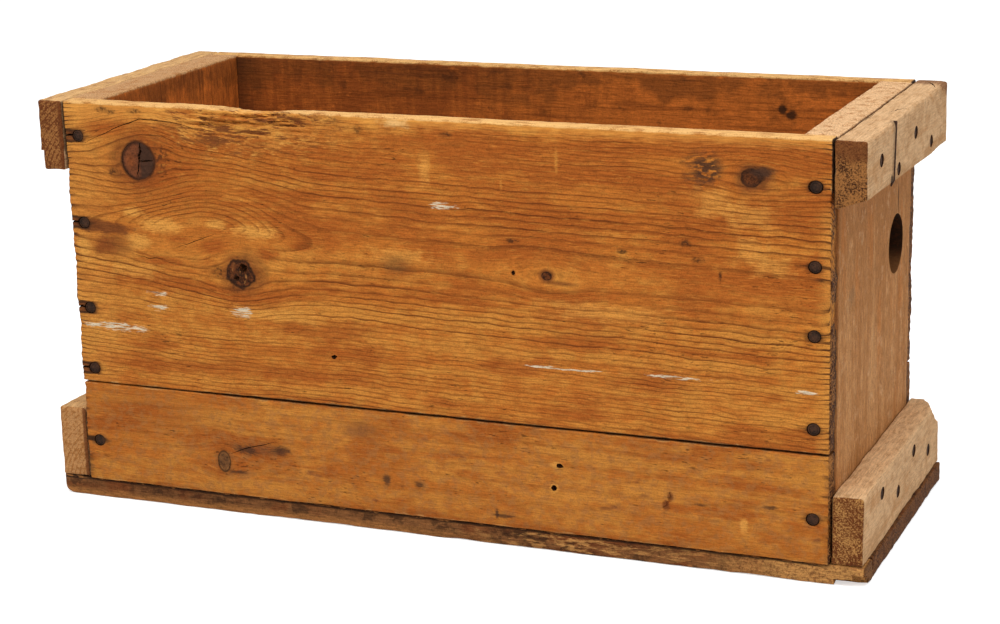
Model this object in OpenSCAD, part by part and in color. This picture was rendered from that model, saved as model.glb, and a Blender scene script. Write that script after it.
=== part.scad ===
// Nailed wooden shipping box with an open top.
// X runs along the length, Y from front to back and Z up.
// The origin is at the middle of the box, on the surface that it stands on.
// All sizes are in millimetres.

/* [Box] */
// Length over the outer faces of the two end boards
box_len = 521; // [400:1:800]
// Depth over the front and back boards
box_depth = 214; // [180:1:360]
// Height of the sides above the bottom boards
side_h = 262; // [220:1:380]

/* [Side boards] */
// Thickness of the front and back boards
side_t = 12.5; // [9:0.5:20]
// Height of the wide upper board on the front and the back
upper_board_h = 192; // [120:1:200]
// Open seam between the upper and the lower board
board_gap = 0.8; // [0.2:0.1:2]
// How far each side board stops short of the end board's outer face
side_short = 0.4; // [0.2:0.1:4]

/* [End boards] */
// Thickness of the end boards
end_t = 22; // [16:0.5:32]
// Diameter of the round hole in the right end board
hole_d = 38; // [20:0.5:50]
// Hole centre, measured from the inner face of the back boards
hole_from_back = 41.5; // [36:0.5:70]
// Hole centre, measured down from the top of the box
hole_drop = 98.5; // [80:0.5:140]

/* [Battens] */
// Thickness of the right battens
right_batten_t = 20; // [14:0.5:30]
// Thickness of the left upper batten
left_upper_batten_t = 18; // [14:0.5:30]
// Thickness of the left lower batten
left_lower_batten_t = 21; // [14:0.5:30]
// Height of the right upper batten
right_upper_batten_h = 41; // [30:0.5:60]
// Height of the right lower batten
right_lower_batten_h = 44; // [30:0.5:60]
// Height of the left upper batten
left_upper_batten_h = 47; // [30:0.5:60]
// Height of the left lower batten
left_lower_batten_h = 49.5; // [30:0.5:60]
// How far the upper battens stand past the side boards at each end
upper_batten_over = 1; // [0:0.1:4]
// How far the lower battens stop short of the side boards at each end
lower_batten_short = 1.5; // [0:0.1:4]

/* [Bottom] */
// Thickness of the bottom boards
bottom_t = 13; // [8:0.5:20]
// Width of the narrow strip along the front of the bottom
bottom_strip_w = 19; // [15:0.5:40]
// Open seam between the strip and the wide bottom board
bottom_gap = 0.8; // [0.2:0.1:2]
// How far the bottom is set back from the front and back faces
bottom_setback = 1.5; // [0:0.1:3]
// How far the bottom runs past the battens at each end
bottom_over = 1.5; // [0:0.1:6]

/* [Nails] */
// Diameter of a nail head
nail_head_d = 7.5; // [5:0.1:9]
// Thickness of a nail head
nail_head_t = 1.3; // [0.8:0.1:2]
// Diameter of a nail's shank
nail_d = 2.8; // [2:0.1:3.6]
// How far a nail head is driven below the wood
nail_sink = 0.4; // [0:0.1:1]
// Clearance around a nail in its hole
nail_fit = 0.05; // [0.02:0.01:0.1]
// Length of the nails through the side boards
side_nail_len = 40; // [30:1:50]
// Length of the nails through the battens
batten_nail_len = 38; // [30:1:40]
// Length of the nails through the bottom
bottom_nail_len = 38; // [25:1:45]
// Distance of the outer batten nails from the batten's ends, before the stagger
batten_nail_inset = 40.5; // [25:0.5:60]
// Sideways stagger between the upper and the lower batten's nails
batten_nail_stagger = 7; // [0:0.5:12]
// Distance between the bottom nails under an end board
end_nail_pitch = 45; // [20:1:50]
// Distance of the outer bottom nails from the end boards' outer faces
long_nail_inset = 60; // [40:1:100]

/* [Lid nail] */
// Diameter of the old lid nail in the right upper batten
lid_nail_d = 2.6; // [2:0.1:3.4]
// Where it enters the batten's top, measured from the batten's front end
lid_nail_from_front = 69; // [60:0.5:70]
// Lean of the nail away from upright
lid_nail_lean = 6; // [0:1:15]
// How deep the nail's axis lies under the batten's outer face
lid_nail_depth = 0.6; // [0:0.1:1.2]

/* [Wear] */
// Rounding of the boards' long edges
board_edge_r = 1; // [0.4:0.1:2]
// Rounding of the battens' long edges
batten_edge_r = 1.6; // [0.4:0.1:3]
// Length of the torn stretch on the front's top edge
tear_len = 150; // [60:1:200]
// Middle of the torn stretch, measured from the left end
tear_from_left = 145; // [110:1:200]
// How far the torn stretch reaches down the front face
tear_h = 17; // [6:0.5:30]
// How deep the torn stretch goes at the top edge
tear_deep = 3.5; // [1:0.1:6]
// Length of the chip at the right end of the bottom strip
chip_len = 25; // [8:1:40]
// Height of that chip
chip_h = 2.6; // [1:0.1:4]
// Depth of that chip
chip_deep = 6; // [2:0.5:12]
// Length of the broken corner on the right lower batten
break_len = 26; // [10:1:40]
// How far the broken corner reaches in from the batten's outer face
break_in = 10; // [4:0.5:14]
// Height of the broken corner at the batten's end
break_h = 20; // [5:0.5:25]
// Depth of the waney step along the left upper batten
wane_in = 2.8; // [0.5:0.1:5]
// Height of the waney step
wane_h = 13; // [5:0.5:20]
// How much of the right upper batten's lower edge is planed away at its front end
plane_off = 7; // [1:0.5:14]

/* [Hidden] */
$fn = 48;
// How far a cut reaches past the face that it opens
overcut = 0.5;

// Heights of the two boards that make up a side
top_z = bottom_t + side_h;
lower_board_h = side_h - upper_board_h - board_gap;
upper_board_z = bottom_t + lower_board_h + board_gap;

// Lengths and widths that follow from the box
side_len = box_len - 2 * side_short;
end_w = box_depth - 2 * side_t;
upper_batten_len = box_depth + 2 * upper_batten_over;
lower_batten_len = box_depth - 2 * lower_batten_short;
bottom_len = box_len + 2 * right_batten_t + 2 * bottom_over;
bottom_depth = box_depth - 2 * bottom_setback;
bottom_wide_w = bottom_depth - bottom_strip_w - bottom_gap;

// Nails: where they stand, as shares of the board that they hold
right_nail_shares = [0.08, 0.38, 0.6, 0.85];
left_nail_shares = [0.05, 0.27, 0.575, 0.88];
lower_nail_share = 0.41;
upper_batten_rows = [0.57, 0.23];
lower_batten_rows = [0.73, 0.43];
batten_nails = 4;
end_bottom_nails = 3;
long_bottom_nails = 5;
nail_x = box_len / 2 - end_t / 2;
long_nail_y = box_depth / 2 - side_t / 2;
nail_tip = 1.5 * nail_d;
nail_rim = nail_head_t / 4;

// Old lid nail: it runs the height of the batten and its tip turns out at the bottom
lid_nail_run = (right_upper_batten_h - 2 * lid_nail_d) / cos(lid_nail_lean);
lid_nail_sunk = lid_nail_d / 5;
lid_nail_hook = 2 * lid_nail_d;
lid_nail_tip = lid_nail_d / 3;
lid_nail_bend = 50;

FRONT = -1;
BACK = 1;
LEFT = -1;
RIGHT = 1;

// Thickness of the battens at one end of the box
function upper_batten_t(end) = end == LEFT ? left_upper_batten_t : right_batten_t;
function lower_batten_t(end) = end == LEFT ? left_lower_batten_t : right_batten_t;

// Height of the battens at one end of the box
function upper_batten_h(end) = end == LEFT ? left_upper_batten_h : right_upper_batten_h;
function lower_batten_h(end) = end == LEFT ? left_lower_batten_h : right_lower_batten_h;

// Timber: a bar with rounded long edges, centred on X and Y, standing on Z = 0

module rounded_section(w, h, r) {
    square([w - 2 * r, h], center = true);
    square([w, h - 2 * r], center = true);
    for (x = [-1, 1], y = [-1, 1])
        translate([x * (w / 2 - r), y * (h / 2 - r)]) circle(r);
}

// Grain along X
module bar_x(length, w, h, r) {
    translate([0, 0, h / 2]) rotate([90, 0, 90])
        linear_extrude(length, center = true) rounded_section(w, h, r);
}

// Grain along Y
module bar_y(length, w, h, r) {
    rotate([0, 0, 90]) bar_x(length, w, h, r);
}

// Grain along Z
module bar_z(length, w, d, r) {
    linear_extrude(length) rounded_section(w, d, r);
}

// Broken corner: the timber's corner is at the origin, and the break reaches as far as each leg
module corner_chip(legs) {
    corner = [for (leg = legs) -sign(leg) * overcut];
    sides = [[0, 1, 2], [0, 3, 1], [0, 2, 3], [1, 3, 2]];
    turned = [[0, 2, 1], [0, 1, 3], [0, 3, 2], [1, 2, 3]];
    polyhedron(
        points = [
            corner, [legs.x, corner.y, corner.z], [corner.x, legs.y, corner.z], [corner.x, corner.y, legs.z]
        ],
        faces = legs.x * legs.y * legs.z > 0 ? sides : turned
    );
}

// Nails: the head's top is at Z = 0 and the shank points down

module nail(length) {
    translate([0, 0, -nail_rim])
        cylinder(h = nail_rim, d1 = nail_head_d, d2 = nail_head_d - 2 * nail_rim);
    translate([0, 0, -nail_head_t]) cylinder(h = nail_head_t - nail_rim, d = nail_head_d);
    translate([0, 0, nail_tip - length]) cylinder(h = length - nail_tip - nail_head_t, d = nail_d);
    translate([0, 0, -length]) cylinder(h = nail_tip, d1 = nail_d / 4, d2 = nail_d);
}

// The hole that a nail leaves in the wood, open upwards
module nail_hole(length) {
    translate([0, 0, -nail_head_t])
        cylinder(h = nail_head_t + nail_sink + overcut, d = nail_head_d + 2 * nail_fit);
    translate([0, 0, -length - nail_fit]) cylinder(h = length, d = nail_d + 2 * nail_fit);
}

// Places of the nails: the children stand at each nail, head outwards

module side_nail_at(end, face, z) {
    translate([end * nail_x, face * (box_depth / 2 - nail_sink), z]) rotate([-face * 90, 0, 0]) children();
}

module side_nail_places(end, face) {
    shares = end == RIGHT ? right_nail_shares : left_nail_shares;
    side_nail_at(end, face, bottom_t + lower_nail_share * lower_board_h) children();
    for (share = shares)
        side_nail_at(end, face, upper_board_z + share * upper_board_h) children();
}

module batten_nail_places(end, thick, base_z, h, length, rows, stagger) {
    pitch = (length - 2 * batten_nail_inset) / (batten_nails - 1);
    for (i = [0 : batten_nails - 1])
        translate([
            end * (box_len / 2 + thick - nail_sink),
            -length / 2 + batten_nail_inset + i * pitch + stagger,
            base_z + rows[i % len(rows)] * h
        ]) rotate([0, end * 90, 0]) children();
}

module upper_batten_nail_places(end) {
    batten_nail_places(end, upper_batten_t(end), top_z - upper_batten_h(end), upper_batten_h(end),
        upper_batten_len, upper_batten_rows, -batten_nail_stagger) children();
}

module lower_batten_nail_places(end) {
    batten_nail_places(end, lower_batten_t(end), bottom_t, lower_batten_h(end),
        lower_batten_len, lower_batten_rows, batten_nail_stagger) children();
}

module bottom_nail_at(x, y) {
    translate([x, y, nail_sink]) rotate([180, 0, 0]) children();
}

module end_bottom_nail_places(end) {
    for (i = [0 : end_bottom_nails - 1])
        bottom_nail_at(end * nail_x, (i - (end_bottom_nails - 1) / 2) * end_nail_pitch) children();
}

module long_bottom_nail_places(face) {
    pitch = (box_len - 2 * long_nail_inset) / (long_bottom_nails - 1);
    for (i = [0 : long_bottom_nails - 1])
        bottom_nail_at(-box_len / 2 + long_nail_inset + i * pitch, face * long_nail_y) children();
}

// Every nail hole that opens into one end of the box
module end_holes(end) {
    for (face = [FRONT, BACK])
        side_nail_places(end, face) nail_hole(side_nail_len);
    upper_batten_nail_places(end) nail_hole(batten_nail_len);
    lower_batten_nail_places(end) nail_hole(batten_nail_len);
    end_bottom_nail_places(end) nail_hole(bottom_nail_len);
}

// Every nail hole that opens into the front or the back
module side_holes(face) {
    for (end = [LEFT, RIGHT])
        side_nail_places(end, face) nail_hole(side_nail_len);
    long_bottom_nail_places(face) nail_hole(bottom_nail_len);
}

// Side boards

module side_board(face, base_z, h) {
    difference() {
        translate([0, face * (box_depth - side_t) / 2, base_z]) bar_x(side_len, side_t, h, board_edge_r);
        side_holes(face);
    }
}

// Torn top edge: a shallow break that runs out at both ends of the stretch
module torn_edge() {
    translate([-box_len / 2 + tear_from_left, -box_depth / 2, top_z])
        for (way = [LEFT, RIGHT])
            corner_chip([way * tear_len / 2, tear_deep, -tear_h]);
}

module front_upper_board() {
    color("#a86a32") difference() {
        side_board(FRONT, upper_board_z, upper_board_h);
        torn_edge();
    }
}

module front_lower_board() {
    color("#a3642c") side_board(FRONT, bottom_t, lower_board_h);
}

module back_upper_board() {
    color("#9c5f2b") side_board(BACK, upper_board_z, upper_board_h);
}

module back_lower_board() {
    color("#9c5f2b") side_board(BACK, bottom_t, lower_board_h);
}

// End boards, with the grain upright

module end_board(end) {
    difference() {
        translate([end * (box_len - end_t) / 2, 0, bottom_t]) bar_z(side_h, end_t, end_w, board_edge_r);
        end_holes(end);
    }
}

module left_end_board() {
    color("#93623a") end_board(LEFT);
}

module right_end_board() {
    color("#a97c50") difference() {
        end_board(RIGHT);
        translate([box_len / 2 - end_t / 2, end_w / 2 - hole_from_back, top_z - hole_drop])
            rotate([0, 90, 0]) cylinder(h = end_t + 2 * overcut, d = hole_d, center = true);
    }
}

// Battens across the ends

module upper_batten(end) {
    difference() {
        translate([end * (box_len + upper_batten_t(end)) / 2, 0, top_z - upper_batten_h(end)])
            bar_y(upper_batten_len, upper_batten_t(end), upper_batten_h(end), batten_edge_r);
        end_holes(end);
    }
}

module lower_batten(end) {
    difference() {
        translate([end * (box_len + lower_batten_t(end)) / 2, 0, bottom_t])
            bar_y(lower_batten_len, lower_batten_t(end), lower_batten_h(end), batten_edge_r);
        end_holes(end);
    }
}

// Waney step: the lower part of the outer face lies deeper
module left_upper_batten() {
    color("#a5825a") difference() {
        upper_batten(LEFT);
        translate([
            -box_len / 2 - left_upper_batten_t - overcut,
            -upper_batten_len / 2 - overcut,
            top_z - left_upper_batten_h - overcut
        ])
            cube([wane_in + overcut, upper_batten_len + 2 * overcut, wane_h + overcut]);
    }
}

module left_lower_batten() {
    color("#a5825a") lower_batten(LEFT);
}

// The underside is planed off towards the front's outer corner
module right_upper_batten() {
    color("#b39069") difference() {
        upper_batten(RIGHT);
        translate([box_len / 2 + right_batten_t, -upper_batten_len / 2, top_z - right_upper_batten_h])
            corner_chip([-right_batten_t, upper_batten_len, plane_off]);
        lid_nail_axis() lid_nail_form(nail_fit, lid_nail_d);
    }
}

module right_lower_batten() {
    color("#b08a5f") difference() {
        lower_batten(RIGHT);
        translate([box_len / 2 + right_batten_t, lower_batten_len / 2, bottom_t + right_lower_batten_h])
            corner_chip([-break_in, -break_len, -break_h]);
    }
}

// Bottom

module bottom_board(width, y_mid) {
    difference() {
        translate([0, y_mid, 0]) bar_x(bottom_len, width, bottom_t, board_edge_r);
        for (end = [LEFT, RIGHT])
            end_bottom_nail_places(end) nail_hole(bottom_nail_len);
        for (face = [FRONT, BACK])
            long_bottom_nail_places(face) nail_hole(bottom_nail_len);
    }
}

module bottom_wide_board() {
    color("#8d5c33") bottom_board(bottom_wide_w, (bottom_depth - bottom_wide_w) / 2);
}

module bottom_front_strip() {
    color("#8a5a30") difference() {
        bottom_board(bottom_strip_w, (bottom_strip_w - bottom_depth) / 2);
        translate([bottom_len / 2 - chip_len, -bottom_depth / 2 - overcut, -overcut])
            cube([chip_len + overcut, chip_deep + overcut, chip_h + overcut]);
    }
}

// Nails of one kind in one joint

module iron() {
    color("#4a342b") children();
}

module side_nails(end, face) {
    iron() side_nail_places(end, face) nail(side_nail_len);
}

module upper_batten_nails(end) {
    iron() upper_batten_nail_places(end) nail(batten_nail_len);
}

module lower_batten_nails(end) {
    iron() lower_batten_nail_places(end) nail(batten_nail_len);
}

module end_bottom_nails(end) {
    iron() end_bottom_nail_places(end) nail(bottom_nail_len);
}

module long_bottom_nails(face) {
    iron() long_bottom_nail_places(face) nail(bottom_nail_len);
}

// Old lid nail, driven down from above and broken out through the batten's face

module lid_nail_axis() {
    translate([
        box_len / 2 + right_batten_t - lid_nail_depth,
        -upper_batten_len / 2 + lid_nail_from_front,
        top_z
    ])
        rotate([-lid_nail_lean, 0, 0]) children();
}

// The shank reaches the given height above the batten's top, and the tip is bent at the bottom
module lid_nail_form(grow, above_top) {
    wide = lid_nail_d + 2 * grow;
    translate([0, 0, -lid_nail_run]) {
        cylinder(h = lid_nail_run + above_top, d = wide);
        sphere(d = wide);
        rotate([-lid_nail_bend, 0, 0]) translate([0, 0, -lid_nail_hook - grow])
            cylinder(h = lid_nail_hook + grow, d1 = lid_nail_tip + 2 * grow, d2 = wide);
    }
}

module lid_nail() {
    iron() lid_nail_axis() lid_nail_form(0, -lid_nail_sunk);
}

front_upper_board();
front_lower_board();
back_upper_board();
back_lower_board();
left_end_board();
right_end_board();
bottom_wide_board();
bottom_front_strip();
left_upper_batten();
left_lower_batten();
right_upper_batten();
right_lower_batten();
side_nails(LEFT, FRONT);  // front_left_nails
side_nails(RIGHT, FRONT);  // front_right_nails
side_nails(LEFT, BACK);  // back_left_nails
side_nails(RIGHT, BACK);  // back_right_nails
upper_batten_nails(LEFT);  // left_upper_batten_nails
lower_batten_nails(LEFT);  // left_lower_batten_nails
upper_batten_nails(RIGHT);  // right_upper_batten_nails
lower_batten_nails(RIGHT);  // right_lower_batten_nails
end_bottom_nails(LEFT);  // bottom_left_nails
end_bottom_nails(RIGHT);  // bottom_right_nails
long_bottom_nails(FRONT);  // bottom_front_nails
long_bottom_nails(BACK);  // bottom_back_nails
lid_nail();
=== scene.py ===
import math
import random
from contextlib import contextmanager
from typing import NamedTuple

import bmesh
import bpy
from mathutils import Matrix, Vector, noise


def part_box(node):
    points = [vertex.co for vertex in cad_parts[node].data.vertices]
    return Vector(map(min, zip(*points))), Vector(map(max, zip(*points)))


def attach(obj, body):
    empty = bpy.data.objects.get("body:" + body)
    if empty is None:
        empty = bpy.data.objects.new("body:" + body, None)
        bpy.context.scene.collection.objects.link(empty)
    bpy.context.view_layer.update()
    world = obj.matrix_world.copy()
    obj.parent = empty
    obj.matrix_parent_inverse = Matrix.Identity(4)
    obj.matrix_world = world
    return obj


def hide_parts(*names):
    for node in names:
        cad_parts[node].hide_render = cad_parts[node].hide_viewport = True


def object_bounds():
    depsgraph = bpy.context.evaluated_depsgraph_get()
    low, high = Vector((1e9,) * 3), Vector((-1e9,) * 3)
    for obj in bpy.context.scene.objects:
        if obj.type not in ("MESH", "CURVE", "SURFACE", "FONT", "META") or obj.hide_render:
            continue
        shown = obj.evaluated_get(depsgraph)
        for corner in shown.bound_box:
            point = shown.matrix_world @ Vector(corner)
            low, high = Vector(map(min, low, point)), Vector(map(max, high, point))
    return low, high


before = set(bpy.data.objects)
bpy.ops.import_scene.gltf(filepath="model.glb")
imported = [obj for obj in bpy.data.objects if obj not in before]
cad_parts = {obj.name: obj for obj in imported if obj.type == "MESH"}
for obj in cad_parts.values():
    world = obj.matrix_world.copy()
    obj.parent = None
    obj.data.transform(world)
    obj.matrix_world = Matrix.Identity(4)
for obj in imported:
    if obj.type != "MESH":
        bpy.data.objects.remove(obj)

bl_info = {
    "name": "Nailed Pine Box",
    "version": (1, 0, 0),
    "blender": (4, 5, 0),
    "location": "3D View > Sidebar > Pine Box",
    "description": "Worn boards, battens, rusty nails and a plain stage for a nailed shipping box",
    "category": "Object",
}

CAD_LOW, CAD_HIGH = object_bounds()
MM = 0.001
MM_PER_METRE = 1000.0
X, Y, Z = range(3)


# Settings that a user would change

def colour(name, description, default):
    """A colour setting, as linear red, green and blue."""
    return bpy.props.FloatVectorProperty(
        name=name, description=description, subtype="COLOR", size=3, min=0.0, max=1.0, default=default)


def length(name, description, default):
    """A length setting in metres."""
    return bpy.props.FloatProperty(
        name=name, description=description, subtype="DISTANCE", unit="LENGTH", min=0.0, default=default,
        precision=5)


def amount(name, description, default):
    """A plain number from nothing to a few."""
    return bpy.props.FloatProperty(name=name, description=description, min=0.0, default=default)


class BoxColours(bpy.types.PropertyGroup):
    """Colours of the wood and the iron."""
    honey: colour("Honey", "Light early wood of the side boards", (0.68, 0.265, 0.043))
    amber: colour("Amber", "Darker early wood of the side boards", (0.57, 0.174, 0.024))
    russet: colour("Russet", "Red brown clouds on the side boards", (0.41, 0.097, 0.013))
    late_wood: colour("Late Wood", "Dark line that ends each year's ring", (0.13, 0.027, 0.004))
    bare: colour("Bare Wood", "Rubbed bare wood on the face of the front", (0.86, 0.390, 0.075))
    straw: colour("Straw", "Bare wood on rubbed rims and splinters", (0.84, 0.480, 0.170))
    # Also laid as painted shade: on the right ends behind the upper batten, along the top of the bottom strip
    # and in the inside corner of the back boards at the left end.
    grime_and_shade: colour("Grime", "Old dirt in cracks and along seams", (0.030, 0.013, 0.006))
    red_stain: colour("Red Stain", "Reddish brown stain on the side boards", (0.18, 0.050, 0.013))
    knot: colour("Knot", "Brown heart of a knot", (0.21, 0.062, 0.022))
    knot_grey: colour("Grey Knot", "Grey weathered part of a knot", (0.062, 0.027, 0.015))
    knot_rim: colour("Knot Rim", "Dark bark line round a knot", (0.018, 0.008, 0.004))
    inside: colour("Inside", "Reddish wood on the inside", (0.62, 0.165, 0.025))
    inside_dark: colour("Inside Dark", "Dark blotches on the inside", (0.34, 0.082, 0.014))
    end_tan: colour("End Tan", "Soft tan of the end boards", (0.62, 0.300, 0.110))
    end_brown: colour("End Brown", "Darker streaks of the end boards", (0.44, 0.180, 0.050))
    weathered: colour("Weathered", "Pale faces of the battens", (0.84, 0.520, 0.270))
    weathered_dark: colour("Weathered Dark", "Darker streaks of the battens", (0.60, 0.330, 0.145))
    saw_gold: colour("Sawn Gold", "Light specks in rough sawn end grain", (0.60, 0.290, 0.085))
    saw_brown: colour("Sawn Brown", "Dark specks in rough sawn end grain", (0.060, 0.019, 0.007))
    bottom: colour("Bottom", "Dirty brown of the bottom boards", (0.24, 0.096, 0.031))
    scuff: colour("Scuff", "Warm white of scuffs", (0.84, 0.740, 0.540))
    rust: colour("Rust", "Brown of the nail heads", (0.072, 0.031, 0.016))
    iron: colour("Iron", "Dark iron of the nails", (0.026, 0.014, 0.009))


class BoxWear(bpy.types.PropertyGroup):
    """Sizes of the wear and of the grain."""
    cell: length("Mesh Step", "Size of the squares that a board's faces are cut into", 0.0026)
    arris: length("Board Arris", "Rounding of the boards' edges", 0.0011)
    batten_arris: length("Batten Arris", "Rounding of the battens' edges", 0.0018)
    rubbed: length("Rubbed Edge", "How deep the edges are worn in places", 0.0006)
    raised: length("Raised Grain", "How far the grain stands up on the faces", 0.0002)
    side_ring: amount("Side Rings", "Width of a year's ring in the side boards, in mm", 2.9)


class BoxStage(bpy.types.PropertyGroup):
    """Camera, light and floor."""
    camera_place: bpy.props.FloatVectorProperty(
        name="Camera Place", description="Where the camera stands", subtype="TRANSLATION", unit="LENGTH",
        size=3, default=(0.59719, -1.41695, 0.53847))
    camera_turn: bpy.props.FloatVectorProperty(
        name="Camera Turn", description="Azimuth, elevation and roll of the camera", subtype="EULER",
        unit="ROTATION", size=3, default=(math.radians(22.72), math.radians(15.10), math.radians(-1.51)))
    focal_length: bpy.props.FloatProperty(
        name="Focal Length", description="Lens on a 36 mm wide sensor, in mm", default=85.08)
    sky: amount("Sky", "Strength of the even light from all round", 0.62)
    lamp_power: bpy.props.FloatProperty(
        name="Lamp", description="Power of the large soft lamp overhead", unit="POWER", default=42.0)
    floor: colour("Floor", "Pale floor", (0.80, 0.80, 0.80))
    floor_glow: amount("Floor Glow", "Light that the floor adds for the camera", 0.56)


# Shader maths

class Value:
    """A socket in a finish. Arithmetic on it adds Math nodes."""

    def __init__(self, finish, socket):
        self.finish = finish
        self.socket = socket

    def __add__(self, other):
        return self.finish.math("ADD", self, other)

    def __radd__(self, other):
        return self.finish.math("ADD", other, self)

    def __sub__(self, other):
        return self.finish.math("SUBTRACT", self, other)

    def __rsub__(self, other):
        return self.finish.math("SUBTRACT", other, self)

    def __mul__(self, other):
        return self.finish.math("MULTIPLY", self, other)

    def __rmul__(self, other):
        return self.finish.math("MULTIPLY", other, self)

    def __truediv__(self, other):
        return self.finish.math("DIVIDE", self, other)

    def __rtruediv__(self, other):
        return self.finish.math("DIVIDE", other, self)

    def __abs__(self):
        return self.finish.math("ABSOLUTE", self)


class Finish:
    """The nodes of a material or a world while they are being built."""

    def __init__(self, owner):
        owner.use_nodes = True
        self.owner = owner
        self.nodes = owner.node_tree.nodes
        self.links = owner.node_tree.links
        self.nodes.clear()

    def node(self, kind, settings=None, sockets=None, output=0):
        """Adds any node: its settings first, then the values or links of its sockets."""
        made = self.nodes.new(kind)
        for key, setting in (settings or {}).items():
            setattr(made, key, setting)
        for key, given in (sockets or {}).items():
            socket = made.inputs[key]
            if isinstance(given, Value):
                self.links.new(given.socket, socket)
            elif socket.type == "RGBA":
                socket.default_value = (*given, 1.0)
            elif socket.type == "VECTOR":
                socket.default_value = tuple(given)
            else:
                socket.default_value = given
        return Value(self, made.outputs[output]) if made.outputs else None

    def math(self, operation, *values):
        return self.node("ShaderNodeMath", {"operation": operation}, dict(enumerate(values)))

    def vector(self, operation, *values):
        return self.node("ShaderNodeVectorMath", {"operation": operation}, dict(enumerate(values)))

    def mix(self, factor, first, second):
        """Blends two colours."""
        return self.node("ShaderNodeMix", {"data_type": "RGBA"}, {0: factor, 6: first, 7: second}, output=2)

    def dimmed(self, shade, factor):
        """A colour times a number."""
        return self.node("ShaderNodeVectorMath", {"operation": "SCALE"}, {0: shade, "Scale": factor})

    def step(self, value, start, end):
        """Rises smoothly from 0 at start to 1 at end."""
        sockets = {"Value": value, "From Min": start, "From Max": end}
        return self.node("ShaderNodeMapRange", {"interpolation_type": "SMOOTHSTEP"}, sockets)

    def least(self, first, second):
        return self.math("MINIMUM", first, second)

    def most(self, first, second):
        return self.math("MAXIMUM", first, second)

    def root(self, value):
        return self.math("SQRT", value)

    def fall(self, value):
        """A bell: 1 where the value is 0, falling off on both sides."""
        return self.math("EXPONENT", 0.0 - value * value)

    def noise_at(self, vector, detail=2.0, rough=0.5):
        """Soft noise from 0 to 1 with features about one unit wide."""
        sockets = {"Vector": vector, "Scale": 1.0, "Detail": detail, "Roughness": rough}
        return self.node("ShaderNodeTexNoise", None, sockets)

    def noise_along(self, value, detail=1.0):
        """Noise along one number."""
        sockets = {"W": value, "Scale": 1.0, "Detail": detail}
        return self.node("ShaderNodeTexNoise", {"noise_dimensions": "1D"}, sockets)

    def parts(self, vector):
        """The three numbers of a vector."""
        first = self.node("ShaderNodeSeparateXYZ", None, {0: vector})
        return [Value(self, socket) for socket in first.socket.node.outputs]

    def object_point(self):
        """The place on the object, in mm."""
        place = self.node("ShaderNodeTexCoord", output="Object")
        return self.vector("MULTIPLY", place, (MM_PER_METRE, MM_PER_METRE, MM_PER_METRE))

    def seen(self):
        """1 for rays from the camera, or mirrored or passed on to it."""
        direct = self.node("ShaderNodeLightPath", output="Is Camera Ray")
        mirrored = self.node("ShaderNodeLightPath", output="Is Glossy Ray")
        passed = self.node("ShaderNodeLightPath", output="Is Transmission Ray")
        return self.most(direct, self.most(mirrored, passed))

    def close(self, shade, rough, height, constants=None):
        """Joins colour, roughness and relief, in mm, to the surface."""
        bump = self.node("ShaderNodeBump", None, {"Strength": 1.0, "Distance": MM, "Height": height})
        sockets = {"Base Color": shade, "Roughness": rough, "Normal": bump}
        sockets.update(constants or {})
        surface = self.node("ShaderNodeBsdfPrincipled", None, sockets)
        self.node("ShaderNodeOutputMaterial", None, {"Surface": surface})
        return self.owner


class Knot(NamedTuple):
    """A branch cut through: its place on the face, its half sizes and how the grain bends, in mm."""
    along: float
    across: float
    half_along: float
    half_across: float
    bend: float = 0.8
    reach_along: float = 3.0
    reach_across: float = 2.1


class Mark(NamedTuple):
    """An oval mark on a face: its place and its half sizes, in mm."""
    along: float
    across: float
    half_along: float
    half_across: float


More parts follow.
